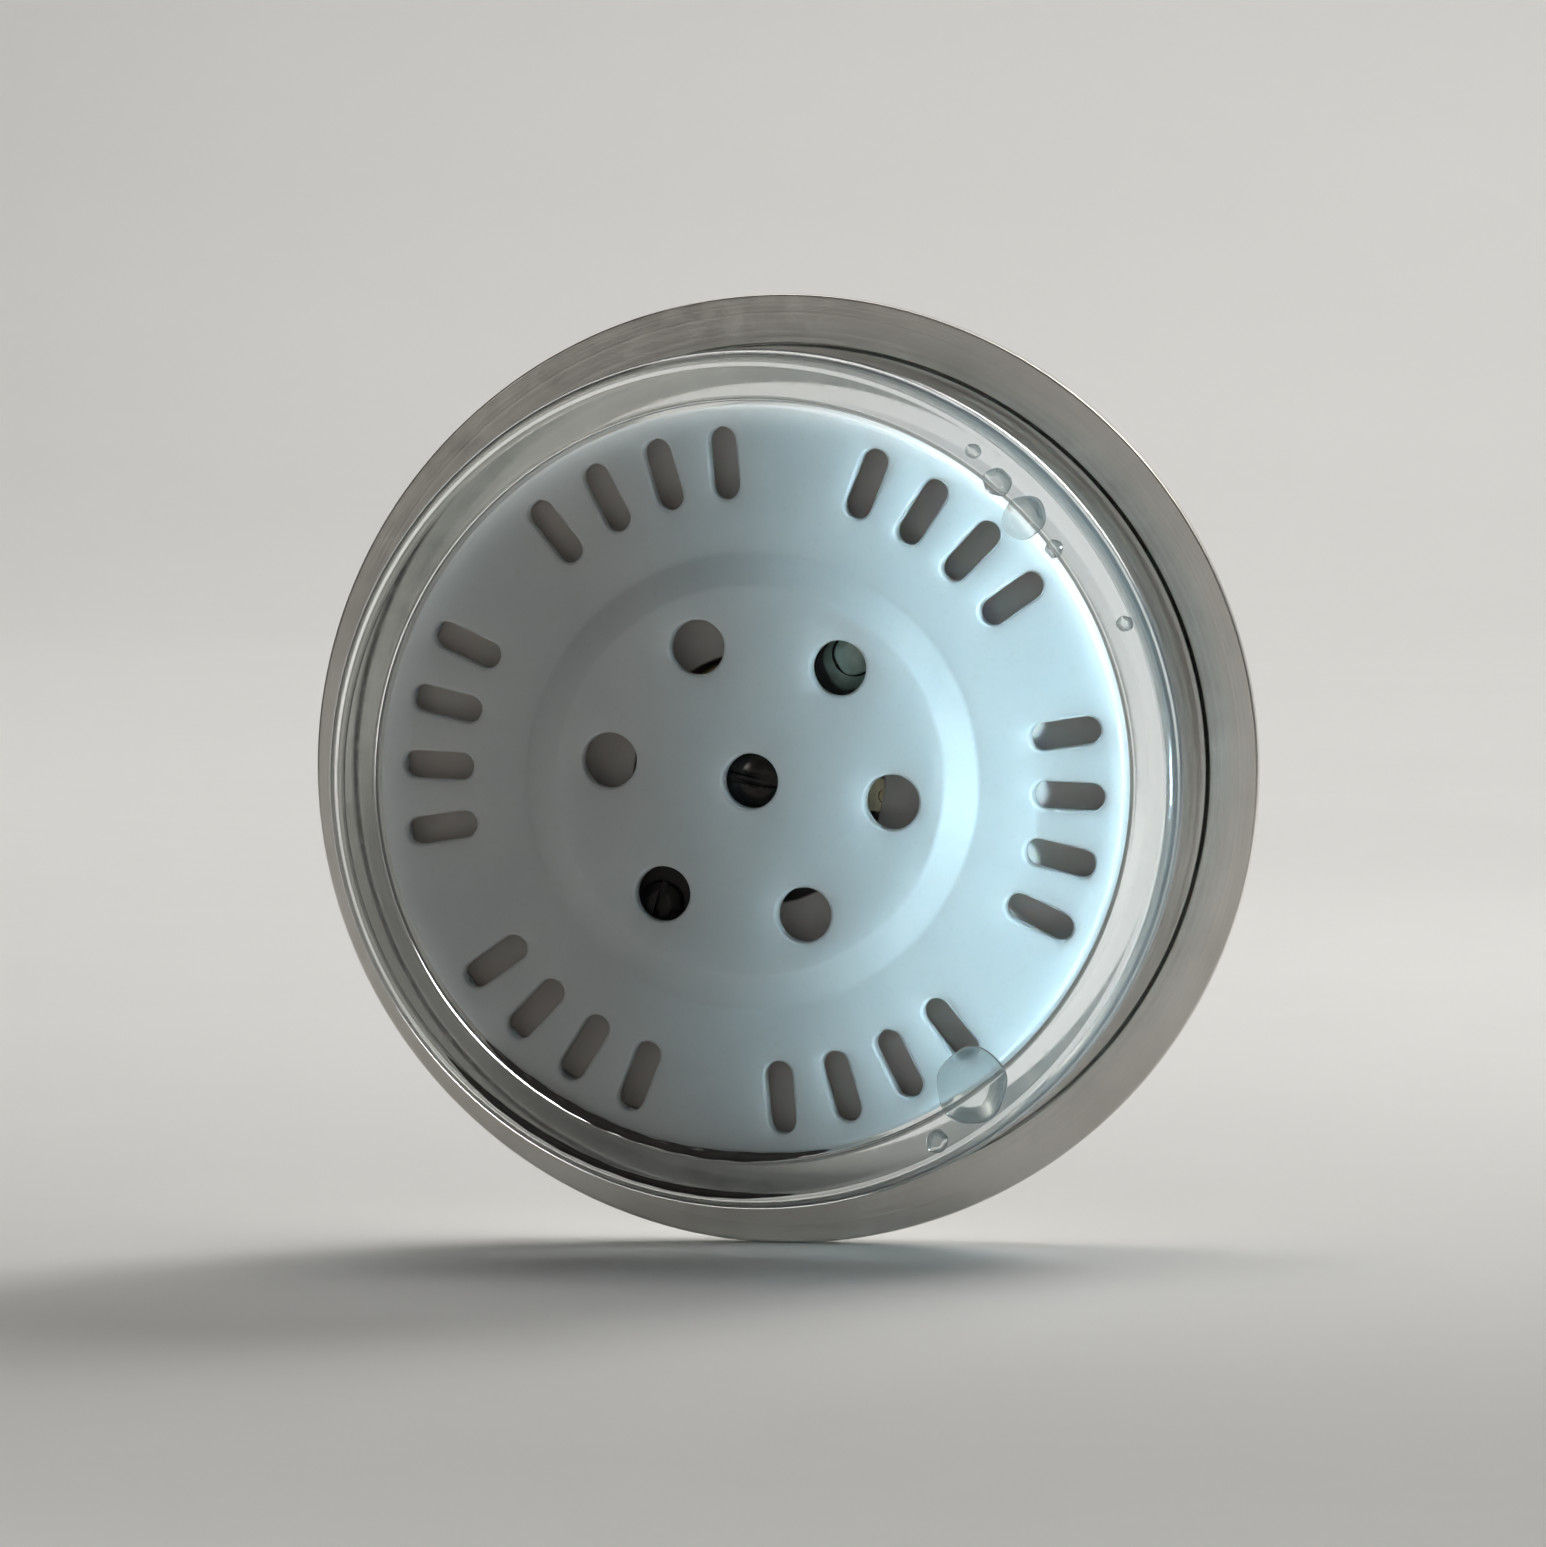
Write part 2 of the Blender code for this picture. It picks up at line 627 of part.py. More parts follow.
# ---- assembly -----------------------------------------------------------------------------
def axis_empty(name, parent=None, clockwise=0.0):
    """An empty on the instrument's axis, turned clockwise as seen by someone who reads the dial."""
    empty = bpy.data.objects.new(name, None)
    bpy.context.collection.objects.link(empty)
    empty.empty_display_size = 5.0 * MM
    empty.rotation_euler = (0.0, math.radians(clockwise), 0.0)
    empty.parent = parent
    return empty


def main():
    clear_scene()
    make_clear_case()
    make_bezel_ring()
    make_spacer_ring()
    make_baffle_plate()
    make_rear_cover()
    make_cement_spot()
    make_dial_plate()
    make_dial_screws()
    make_stop_pin()
    make_movement_plate()
    make_front_bearing()
    make_pillars()
    make_bridge()
    make_bridge_screws()
    make_friction_washer()

    calibrator = axis_empty("calibrator_axis")
    adjusted = [make_calibration_screw(), make_rear_bearing(), make_coil_arm(), make_coil_stud()]
    for piece in adjusted + make_coil():
        piece.parent = calibrator

    hand = axis_empty("pointer_axis", calibrator, READING_ANGLE)
    turning = [make_arbor(), make_coil_collet(), make_pointer(), make_pointer_hub(), make_pointer_cap()]
    for piece in turning:
        piece.parent = hand


main()
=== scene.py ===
import math

import bmesh
import bpy
from mathutils import Matrix, Vector


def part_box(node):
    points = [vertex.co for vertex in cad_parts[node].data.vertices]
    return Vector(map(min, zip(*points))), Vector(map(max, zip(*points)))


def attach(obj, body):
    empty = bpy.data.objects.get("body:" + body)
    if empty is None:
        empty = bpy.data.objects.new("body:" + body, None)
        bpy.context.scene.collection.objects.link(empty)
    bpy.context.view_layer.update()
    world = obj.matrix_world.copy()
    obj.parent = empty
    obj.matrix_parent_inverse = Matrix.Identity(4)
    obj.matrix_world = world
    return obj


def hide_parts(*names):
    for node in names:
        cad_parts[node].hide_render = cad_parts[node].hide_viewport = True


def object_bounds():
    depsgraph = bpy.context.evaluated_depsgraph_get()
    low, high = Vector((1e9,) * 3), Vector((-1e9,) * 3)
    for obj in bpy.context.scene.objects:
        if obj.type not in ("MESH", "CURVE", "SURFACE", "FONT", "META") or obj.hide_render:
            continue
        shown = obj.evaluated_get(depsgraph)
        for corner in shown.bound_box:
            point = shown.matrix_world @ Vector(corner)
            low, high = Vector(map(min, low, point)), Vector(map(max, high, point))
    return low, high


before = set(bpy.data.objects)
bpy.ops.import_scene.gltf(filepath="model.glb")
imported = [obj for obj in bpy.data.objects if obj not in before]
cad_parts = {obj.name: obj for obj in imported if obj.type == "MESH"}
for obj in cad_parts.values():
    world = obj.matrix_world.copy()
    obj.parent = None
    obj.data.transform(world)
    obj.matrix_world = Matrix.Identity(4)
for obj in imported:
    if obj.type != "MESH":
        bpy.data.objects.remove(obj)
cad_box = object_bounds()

MM = 0.001

# ---- sizes read from the frame -------------------------------------------------------------------


def node_size(node):
    """Radius, front Y and rear Y of a node that is centred on the instrument's axis."""
    low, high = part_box(node)
    return high.x / MM, low.y / MM, high.y / MM


CASE_R, WINDOW_TOP_Y, CASE_REAR_Y = node_size("clear_case")
BEZEL_R, BEZEL_CREST_Y, SEAT_Y = node_size("bezel_ring")
COVER_R, COVER_FRONT_Y, COVER_TOP_Y = node_size("rear_cover")
DIAL_R, DIAL_FACE_Y, DIAL_REAR_Y = node_size("dial_plate")
SPACER_R, SPACER_FRONT_Y, SPACER_REAR_Y = node_size("spacer_ring")
BAFFLE_R, BAFFLE_FRONT_Y, BAFFLE_REAR_Y = node_size("baffle_plate")
BOSS_R, BOSS_FRONT_Y, BOSS_REAR_Y = node_size("calibration_screw")

# ---- sizes inside those pieces, as in the CAD ----------------------------------------------------
BORE_R = 14.95
WINDOW_THICK = 1.2
WINDOW_SAG = 0.5
CASE_FRONT_Y = WINDOW_TOP_Y + WINDOW_SAG
HAZE_START_Y = CASE_REAR_Y - 0.8
BEZEL_LIP_R = 15.5
BEZEL_BORE_R = CASE_R + 0.075
COVER_FACE_Y = COVER_TOP_Y - 0.6
COVER_WALL = 1.2
SKIRT_R = COVER_R - 0.7
STEP_BASE_R, STEP_TOP_R = 9.0, 7.7
VENT_TURN = 8.0
VENT_GROUPS = 6
VENT_HOLE_R = 1.1
VENT_CIRCLE_R = 5.67
SLOTS_PER_GROUP = 4
SLOT_PITCH = 11.25
SLOT_MIDDLE_R = 12.55
SLOT_LENGTH = 2.9
SLOT_WIDTH = 1.1
SPACER_INNER_R, SPACER_MOUTH_R = 13.2, 14.0
BAFFLE_HOLE_R = 5.0
BAFFLE_THICK = 0.4
BAFFLE_WALL = 0.6
BRIDGE_ANGLE = VENT_TURN + 120.0
BRIDGE_OPENING = (16.4, 5.0)
BRIDGE_SCREW_R = 6.3
ARM_ANGLE = VENT_TURN + 180.0
CEMENT_ANGLE = 233.8
SCALE_SWEEP = 260.0
DIAL_HOLE_R = 1.45
STOP_PIN_R, STOP_PIN_Z = 0.38, -8.5
DIAL_SCREW_X, DIAL_SCREW_HOLE_R = 6.5, 0.6
HAND_HUB_R = 1.15
HAND_HOLE_R = 0.6
HAND_LENGTH = 11.0
WEIGHT_R, WEIGHT_Z = 0.8, -3.0
CAP_R = 1.3
HUB_REAR_Y = 0.3
BOSS_HEAD = 0.6
BOSS_DOME_R, BOSS_DOME_SAG = 1.55, 0.22
BOSS_NECK_R = 0.95
BOSS_BORE_R, BOSS_BORE_Y = 0.62, 7.75

# ---- sizes of what is drawn here and not in the CAD ----------------------------------------------
MARK_OUTER_R = 12.25
MARKS = {10: (11.0, 0.2), 5: (11.35, 0.13), 1: (11.65, 0.08)}
SCALE_ARC = (12.22, 12.32)
BAND = (12.45, 12.95)
BAND_READINGS = (65, 75)
FIGURE_R = 9.35
FIGURE_SIZE = 1.75
PERCENT_SIZE, PERCENT_Z = 2.3, -5.2
PRINT_FRONT_Y = DIAL_FACE_Y - 0.025
PRINT_REAR_Y = DIAL_FACE_Y - 0.005
FINE = 192
SLIVER = 0.004


# ---- mesh helpers --------------------------------------------------------------------------------
def polar(radius, degrees):
    angle = math.radians(degrees)
    return radius * math.cos(angle), radius * math.sin(angle)


def rounded(corners, steps=5):
    """An open outline of (r, y) from corners (r, y, fillet), each fillet turned into an arc."""
    points = []
    for i, (r, y, fillet) in enumerate(corners):
        if not fillet or i in (0, len(corners) - 1):
            points.append((r, y))
            continue
        here = Vector((r, y))
        back = Vector(corners[i - 1][:2]) - here
        ahead = Vector(corners[i + 1][:2]) - here
        half = back.angle(ahead) / 2.0
        reach = min(fillet / math.tan(half), 0.49 * back.length, 0.49 * ahead.length)
        radius = reach * math.tan(half)
        start = here + back.normalized() * reach
        end = here + ahead.normalized() * reach
        centre = here + (back.normalized() + ahead.normalized()).normalized() * (radius / math.sin(half))
        first, last = start - centre, end - centre
        turn = first.angle_signed(last)
        for k in range(steps + 1):
            arm = first.copy()
            arm.rotate(Matrix.Rotation(-turn * k / steps, 2))
            points.append(tuple(centre + arm))
    return points


def closed_round(corners, steps=5):
    """As rounded, for a closed outline, where every corner can have a fillet."""
    looped = [corners[-1]] + corners + [corners[0]]
    points = rounded(looped, steps)
    return points[1:-1]


def ring(bm, radius, y, count=FINE):
    """A circle of vertices round the Y axis."""
    made = []
    for i in range(count):
        x, z = polar(radius, 360.0 * i / count)
        made.append(bm.verts.new((x, y, z)))
    return made


def bridge(bm, near, far):
    """Quads between two closed loops with the same number of vertices."""
    count = len(near)
    for i in range(count):
        k = (i + 1) % count
        bm.faces.new((near[i], near[k], far[k], far[i]))


def skin(bm, outline, count=FINE):
    """Turn an open outline round the Y axis. Returns its first and last circle."""
    rings = []
    for r, y in outline:
        rings.append([bm.verts.new((0.0, y, 0.0))] if r < 1e-6 else ring(bm, r, y, count))
    for near, far in zip(rings, rings[1:]):
        if len(near) == 1:
            fan(bm, near[0], far)
        elif len(far) == 1:
            fan(bm, far[0], near)
        else:
            bridge(bm, near, far)
    return rings[0], rings[-1]


def fan(bm, tip, loop):
    for i, here in enumerate(loop):
        bm.faces.new((tip, here, loop[(i + 1) % len(loop)]))


def loop_edges(bm, loop):
    found = []
    for i, here in enumerate(loop):
        pair = (here, loop[(i + 1) % len(loop)])
        found.append(bm.edges.get(pair) or bm.edges.new(pair))
    return found


def fill(bm, loops):
    """One flat face region bounded by the first loop, with the other loops as holes."""
    edges = [edge for loop in loops for edge in loop_edges(bm, loop)]
    bmesh.ops.triangle_fill(bm, use_beauty=True, use_dissolve=False, edges=edges, normal=(0, 1, 0))


def finish_mesh(name, bm, surface, sharp=35.0, weighted=True):
    """Millimetres to metres, normals outwards, smooth shading with sharp real edges."""
    bmesh.ops.recalc_face_normals(bm, faces=bm.faces)
    bmesh.ops.scale(bm, vec=(MM, MM, MM), verts=bm.verts)
    mesh = bpy.data.meshes.new(name)
    bm.to_mesh(mesh)
    bm.free()
    mesh.shade_smooth()
    mesh.set_sharp_from_angle(angle=math.radians(sharp))
    mesh.materials.append(surface)
    made = bpy.data.objects.new(name, mesh)
    bpy.context.collection.objects.link(made)
    if weighted:
        flat = made.modifiers.new("face_weighted_normals", "WEIGHTED_NORMAL")
        flat.keep_sharp = True
    return made


def lathe(name, outline, surface, count=FINE, closed=True, sharp=35.0):
    """A turned piece. A closed outline gives a ring, an open one starts and ends on the axis."""
    bm = bmesh.new()
    first, last = skin(bm, outline, count)
    if closed:
        bridge(bm, last, first)
    return finish_mesh(name, bm, surface, sharp)


def wall(bm, outline, levels):
    """Stack copies of an outline. outline(grow) gives (x, z) points; levels are (y, grow)."""
    loops = []
    for y, grow in levels:
        loops.append([bm.verts.new((x, y, z)) for x, z in outline(grow)])
    for near, far in zip(loops, loops[1:]):
        bridge(bm, near, far)
    return loops[0], loops[-1]


def circle_outline(cx, cz, radius, count=40):
    def points(grow):
        made = []
        for i in range(count):
            x, z = polar(radius + grow, 360.0 * i / count)
            made.append((cx + x, cz + z))
        return made
    return points


def slot_outline(middle_r, degrees, length, width, steps=10):
    """A round-ended slot that points away from the axis."""
    turn = Matrix.Rotation(math.radians(degrees), 2)

    def points(grow):
        half = (length - width) / 2.0
        made = []
        for side, start in ((1, -90.0), (-1, 90.0)):
            for i in range(steps + 1):
                x, z = polar(width / 2.0 + grow, start + 180.0 * i / steps)
                made.append(tuple(turn @ Vector((middle_r + side * half + x, z))))
        return made
    return points


def edge_levels(front, rear, fillet, steps=4):
    """Levels of a hole's wall from its rear mouth to its front, the rear edge rounded."""
    levels = []
    for i in range(steps + 1):
        angle = math.radians(90.0 * i / steps)
        levels.append((rear - fillet * (1.0 - math.cos(angle)), fillet * (1.0 - math.sin(angle))))
    levels.append((front, 0.0))
    return levels


def slab(bm, outline, front, rear):
    """A closed plate between y = front and y = rear."""
    first, last = wall(bm, outline, [(front, 0.0), (rear, 0.0)])
    bm.faces.new(first)
    bm.faces.new(last)


# ---- material helpers ----------------------------------------------------------------------------
class Surface:
    """A Principled material with a few node shortcuts. Texture coordinates are the object's own."""

    def __init__(self, name, roughness, metallic=0.0, **values):
        self.material = bpy.data.materials.new(name)
        self.material.use_nodes = True
        self.tree = self.material.node_tree
        self.shader = self.tree.nodes["Principled BSDF"]
        self.shader.inputs["Roughness"].default_value = roughness
        self.shader.inputs["Metallic"].default_value = metallic
        for socket, value in values.items():
            self.shader.inputs[socket.replace("_", " ")].default_value = value
        self.coords = self.tree.nodes.new("ShaderNodeTexCoord").outputs["Object"]
        self.last_normal = None

    def link(self, source, target):
        self.tree.links.new(source, target)

    def node(self, kind, **values):
        made = self.tree.nodes.new(kind)
        for key, value in values.items():
            setattr(made, key, value)
        return made

    def stretch(self, scale):
        """Coordinates in millimetres, stretched along each axis."""
        mapping = self.node("ShaderNodeMapping")
        mapping.inputs["Scale"].default_value = [s / MM for s in scale]
        self.link(self.coords, mapping.inputs["Vector"])
        return mapping.outputs["Vector"]

    def noise(self, scale, detail=3.0, roughness=0.55, stretch=(1.0, 1.0, 1.0), distortion=0.0):
        """Noise with features of about 1 / scale millimetres."""
        made = self.node("ShaderNodeTexNoise")
        made.inputs["Scale"].default_value = scale
        made.inputs["Detail"].default_value = detail
        made.inputs["Roughness"].default_value = roughness
        made.inputs["Distortion"].default_value = distortion
        self.link(self.stretch(stretch), made.inputs["Vector"])
        return made.outputs["Fac"]

    def turned(self, scale, detail=4.0):
        """Noise that changes only with the distance from the Y axis, as lathe marks do."""
        flat = self.node("ShaderNodeVectorMath", operation="MULTIPLY")
        flat.inputs[1].default_value = (1.0 / MM, 0.0, 1.0 / MM)
        self.link(self.coords, flat.inputs[0])
        length = self.node("ShaderNodeVectorMath", operation="LENGTH")
        self.link(flat.outputs["Vector"], length.inputs[0])
        made = self.node("ShaderNodeTexNoise", noise_dimensions="1D")
        made.inputs["Scale"].default_value = scale
        made.inputs["Detail"].default_value = detail
        self.link(length.outputs["Value"], made.inputs["W"])
        return made.outputs["Fac"]

    def between(self, source, low, high, from_low=0.3, from_high=0.7):
        """Map a 0 to 1 pattern onto a range of numbers."""
        made = self.node("ShaderNodeMapRange")
        made.inputs["From Min"].default_value = from_low
        made.inputs["From Max"].default_value = from_high
        made.inputs["To Min"].default_value = low
        made.inputs["To Max"].default_value = high
        self.link(source, made.inputs["Value"])
        return made.outputs["Result"]

    def colours(self, source, stops):
        """A colour ramp over (position, (r, g, b)) stops."""
        made = self.node("ShaderNodeValToRGB")
        elements = made.color_ramp.elements
        while len(elements) < len(stops):
            elements.new(0.5)
        for element, (position, colour) in zip(elements, stops):
            element.position = position
            element.color = (*colour, 1.0)
        self.link(source, made.inputs["Fac"])
        return made.outputs["Color"]

    def blend(self, factor, first, second, mode="MIX"):
        """Mix two colour outputs or plain colours."""
        made = self.node("ShaderNodeMix", data_type="RGBA", blend_type=mode)
        for socket, value in ((0, factor), (6, first), (7, second)):
            if isinstance(value, bpy.types.NodeSocket):
                self.link(value, made.inputs[socket])
            elif socket:
                made.inputs[socket].default_value = (*value, 1.0)
            else:
                made.inputs[socket].default_value = value
        return made.outputs[2]

    def bump(self, height, depth, strength=1.0):
        """Relief whose full height is depth millimetres."""
        made = self.node("ShaderNodeBump")
        made.inputs["Strength"].default_value = strength
        made.inputs["Distance"].default_value = depth * MM
        self.link(height, made.inputs["Height"])
        if self.last_normal:
            self.link(self.last_normal, made.inputs["Normal"])
        self.last_normal = made.outputs["Normal"]
        self.link(self.last_normal, self.shader.inputs["Normal"])

    def set(self, socket, source):
        self.link(source, self.shader.inputs[socket])


def clear_plastic(name, clearness, smooth, rough):
    """Polystyrene with faint moulding ripples and handling marks. Less clearness adds a white haze."""
    s = Surface(name, rough, IOR=1.58, Transmission_Weight=clearness)
    tint = s.noise(0.12, 2.0)
    s.set("Base Color", s.colours(tint, [(0.3, (0.95, 0.985, 0.98)), (0.7, (0.985, 0.995, 0.99))]))
    scuffs = s.noise(2.2, 5.0, 0.7, (1.0, 0.25, 1.0), 0.6)
    s.set("Roughness", s.between(scuffs, smooth, rough, 0.45, 0.75))
    s.bump(s.noise(0.35, 1.0), 0.02, 0.35)
    s.bump(s.noise(6.0, 3.0), 0.001, 0.25)
    open_air = s.node("ShaderNodeBsdfTransparent")
    open_air.inputs["Color"].default_value = (0.93, 0.95, 0.95, 1.0)
    pick = s.node("ShaderNodeMixShader")
    s.link(s.node("ShaderNodeLightPath").outputs["Is Shadow Ray"], pick.inputs["Fac"])
    s.link(s.shader.outputs["BSDF"], pick.inputs[1])
    s.link(open_air.outputs["BSDF"], pick.inputs[2])
    s.link(pick.outputs["Shader"], s.tree.nodes["Material Output"].inputs["Surface"])
    return s.material


def white_plastic():
    """Translucent, blue-grey white moulded plastic with a satin skin."""
    s = Surface("white_plastic", 0.4, IOR=1.5, Subsurface_Weight=1.0, Subsurface_Scale=0.0028)
    s.shader.inputs["Subsurface Radius"].default_value = (0.95, 1.0, 1.05)
    flow = s.noise(0.16, 3.0, 0.5, distortion=0.8)
    base = s.colours(flow, [(0.3, (0.63, 0.68, 0.69)), (0.7, (0.69, 0.74, 0.75))])
    dust = s.between(s.noise(3.5, 6.0, 0.75), 0.0, 0.30, 0.55, 0.8)
    s.set("Base Color", s.blend(dust, base, (0.48, 0.48, 0.44)))
    s.set("Roughness", s.between(s.noise(1.4, 4.0), 0.32, 0.52))
    s.bump(s.noise(0.25, 2.0), 0.03, 0.3)
    s.bump(s.noise(9.0, 3.0, 0.6), 0.006, 0.35)
    return s.material


def ivory_plastic(name, dark, light):
    s = Surface(name, 0.38, Subsurface_Weight=0.1, Subsurface_Scale=0.001)
    s.set("Base Color", s.colours(s.noise(0.3), [(0.3, dark), (0.7, light)]))
    s.set("Roughness", s.between(s.noise(1.5), 0.3, 0.48))
    s.bump(s.noise(8.0, 3.0), 0.005, 0.3)
    return s.material


def nickel_plate():
    """Polished nickel plate with fine lathe lines and soft handling smears."""
    s = Surface("nickel_plate", 0.16, 1.0)
    tone = s.noise(0.18, 3.0, 0.6)
    base = s.colours(tone, [(0.3, (0.62, 0.60, 0.565)), (0.7, (0.74, 0.72, 0.68))])
    spots = s.between(s.noise(2.6, 6.0, 0.8), 0.0, 0.6, 0.62, 0.85)
    s.set("Base Color", s.blend(spots, base, (0.40, 0.37, 0.32)))
    lines = s.turned(7.0, 5.0)
    smears = s.between(s.noise(1.2, 4.0), 0.10, 0.28)
    s.set("Roughness", s.blend(0.5, s.between(lines, 0.10, 0.24), smears))
    s.bump(lines, 0.004, 0.4)
    return s.material


def brass():
    """Stamped brass, brushed along Z, dulled and browned with age."""
    s = Surface("brass", 0.36, 1.0)
    grain = s.noise(1.0, 5.0, 0.65, (9.0, 9.0, 0.7))
    base = s.colours(grain, [(0.3, (0.50, 0.38, 0.23)), (0.7, (0.66, 0.52, 0.33))])
    tarnish = s.between(s.noise(0.5, 5.0, 0.65), 0.0, 0.7, 0.5, 0.8)
    s.set("Base Color", s.blend(tarnish, base, (0.33, 0.23, 0.17)))
    s.set("Roughness", s.between(grain, 0.30, 0.48))
    s.bump(grain, 0.006, 0.4)
    return s.material


def dull_aluminium():
    """Stamped aluminium, dulled with age to a warm grey."""
    s = Surface("dull_aluminium", 0.5, 0.85)
    grain = s.noise(1.0, 4.0, 0.6, (0.8, 8.0, 8.0))
    base = s.colours(grain, [(0.3, (0.54, 0.50, 0.47)), (0.7, (0.64, 0.60, 0.57))])
    bloom = s.between(s.noise(0.6, 5.0, 0.7), 0.0, 0.6, 0.5, 0.8)
    s.set("Base Color", s.blend(bloom, base, (0.46, 0.40, 0.37)))
    s.set("Roughness", s.between(grain, 0.42, 0.6))
    s.bump(grain, 0.006, 0.4)
    return s.material


def steel():
    s = Surface("steel", 0.25, 1.0)
    grain = s.noise(1.0, 4.0, 0.6, (2.0, 14.0, 2.0))
    s.set("Base Color", s.colours(grain, [(0.3, (0.50, 0.51, 0.52)), (0.7, (0.66, 0.67, 0.68))]))
    s.set("Roughness", s.between(grain, 0.18, 0.36))
    s.bump(grain, 0.004, 0.4)
    return s.material


def black_steel(name, smooth, rough):
    """Blackened steel: oily black with a brown cast and faint rub marks."""
    s = Surface(name, rough, 0.75)
    mottle = s.noise(1.1, 5.0, 0.65)
    base = s.colours(mottle, [(0.3, (0.012, 0.012, 0.013)), (0.7, (0.045, 0.040, 0.036))])
    rub = s.between(s.noise(4.0, 5.0, 0.8, (1.0, 1.0, 0.3)), 0.0, 0.5, 0.62, 0.8)
    s.set("Base Color", s.blend(rub, base, (0.16, 0.155, 0.15)))
    s.set("Roughness", s.between(mottle, smooth, rough))
    s.bump(s.noise(6.0, 4.0), 0.004, 0.4)
    return s.material


def bronze():
    s = Surface("bronze", 0.32, 1.0)
    grain = s.noise(1.0, 4.0, 0.6, (1.5, 12.0, 1.5))
    s.set("Base Color", s.colours(grain, [(0.3, (0.38, 0.25, 0.14)), (0.7, (0.56, 0.40, 0.24))]))
    s.set("Roughness", s.between(s.noise(1.8, 4.0), 0.26, 0.45))
    s.bump(grain, 0.003, 0.4)
    return s.material


def moisture_film():
    """Thin salt-treated paper film with visible fibres."""
    s = Surface("moisture_film", 0.75, Sheen_Weight=0.15)
    fibres = s.noise(2.4, 6.0, 0.7, (1.0, 3.0, 1.0), 1.2)
    olive = [(0.3, (0.28, 0.30, 0.20)), (0.5, (0.42, 0.43, 0.31)), (0.75, (0.55, 0.54, 0.41))]
    s.set("Base Color", s.colours(fibres, olive))
    s.set("Roughness", s.between(fibres, 0.65, 0.9))
    s.bump(fibres, 0.01, 0.5)
    return s.material


def dial_paint():
    """Ivory enamel print on aluminium: fine eggshell grain, a cream tone that changes slowly, and dark
    specks.
    """
    s = Surface("dial_white", 0.42, Coat_Weight=0.15, Coat_Roughness=0.2)
    grain = s.noise(5.0, 4.0, 0.6)
    cream = s.colours(s.noise(0.14, 3.0), [(0.3, (0.80, 0.765, 0.66)), (0.7, (0.85, 0.825, 0.735))])
    specks = s.between(s.noise(7.0, 5.0, 0.8), 0.0, 0.25, 0.66, 0.85)
    s.set("Base Color", s.blend(specks, cream, (0.62, 0.57, 0.46)))
    s.set("Roughness", s.between(grain, 0.36, 0.5))
    s.bump(grain, 0.004, 0.35)
    return s.material


def ink(name, dark, light):
    """Screen-printed ink with a slightly uneven film."""
    s = Surface(name, 0.5)
    film = s.noise(6.0, 4.0, 0.7)
    s.set("Base Color", s.colours(film, [(0.3, dark), (0.75, light)]))
    s.set("Roughness", s.between(film, 0.4, 0.6))
    s.bump(film, 0.002, 0.4)
    return s.material


def black_paint():
    s = Surface("black_paint", 0.33, Coat_Weight=0.2, Coat_Roughness=0.15)
    peel = s.noise(3.0, 3.0)
    s.set("Base Color", s.colours(peel, [(0.3, (0.010, 0.010, 0.011)), (0.7, (0.024, 0.023, 0.023))]))
    s.set("Roughness", s.between(peel, 0.26, 0.42))
    s.bump(peel, 0.004, 0.35)
    return s.material


def lacquer(name, dark, light, roughness):
    """A thick wet-looking film whose colour changes slowly at random. It serves only the painted shade beads
    and the painted reflection dabs.
    """
    s = Surface(name, roughness, Coat_Weight=0.4, Coat_Roughness=0.12)
    film = s.noise(1.3, 4.0, 0.6)
    s.set("Base Color", s.colours(film, [(0.3, dark), (0.7, light)]))
    s.set("Roughness", s.between(s.noise(3.0, 3.0), 0.8 * roughness, 1.3 * roughness))
    s.bump(film, 0.03, 0.4)
    return s.material


def floor_surface():
    s = Surface("pale_floor", 0.6)
    shade = s.noise(0.01, 3.0)
    s.set("Base Color", s.colours(shade, [(0.3, (0.80, 0.80, 0.79)), (0.7, (0.83, 0.83, 0.82))]))
    s.set("Roughness", s.between(s.noise(0.2, 3.0), 0.55, 0.7))
    s.bump(s.noise(1.5, 3.0), 0.01, 0.2)
    return s.material


CLEAR = clear_plastic("clear_plastic", 1.0, 0.02, 0.11)
HAZY = clear_plastic("hazy_clear_plastic", 0.87, 0.06, 0.22)
WHITE = white_plastic()
IVORY = ivory_plastic("ivory_plastic", (0.78, 0.74, 0.65), (0.84, 0.81, 0.72))
WARM_IVORY = ivory_plastic("warm_ivory_plastic", (0.87, 0.78, 0.73), (0.92, 0.85, 0.80))
NICKEL = nickel_plate()
BRASS = brass()
STEEL = steel()
ALUMINIUM = dull_aluminium()
BLACK_STEEL = black_steel("black_steel", 0.3, 0.5)
POLISHED_BLACK = black_steel("polished_black_steel", 0.08, 0.16)
BRONZE = bronze()
FILM = moisture_film()
DIAL = dial_paint()
PAINT = black_paint()
BLACK_INK = ink("black_ink", (0.010, 0.010, 0.012), (0.028, 0.028, 0.030))
# Green film whose colour is painted reflection: cool light off the dark bridge, seen through a vent hole of
# the rear cover.
GREEN_REFLECTION_FILM = lacquer("painted_green_reflection", (0.30, 0.44, 0.38), (0.48, 0.62, 0.54), 0.3)
# Near-black film for the beads of painted shade along the lower left edge of the rear cover.
GAP_SHADE_FILM = lacquer("painted_gap_shade", (0.010, 0.009, 0.008), (0.030, 0.025, 0.020), 0.45)
GREEN_INK = ink("green_ink", (0.06, 0.20, 0.09), (0.10, 0.28, 0.13))


def stand_for(piece, node, body):
    """A new piece that is shown in place of a CAD node."""
    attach(piece, body)
    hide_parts(node)
    return piece


# ---- case ----------------------------------------------------------------------------------------
def dome(edge_r, edge_y, sag, steps=16):
    """A shallow dome's outline from the axis to its edge."""
    made = []
    for i in range(steps + 1):
        t = i / steps
        made.append((edge_r * t, edge_y - sag * (1.0 - t * t)))
    return made


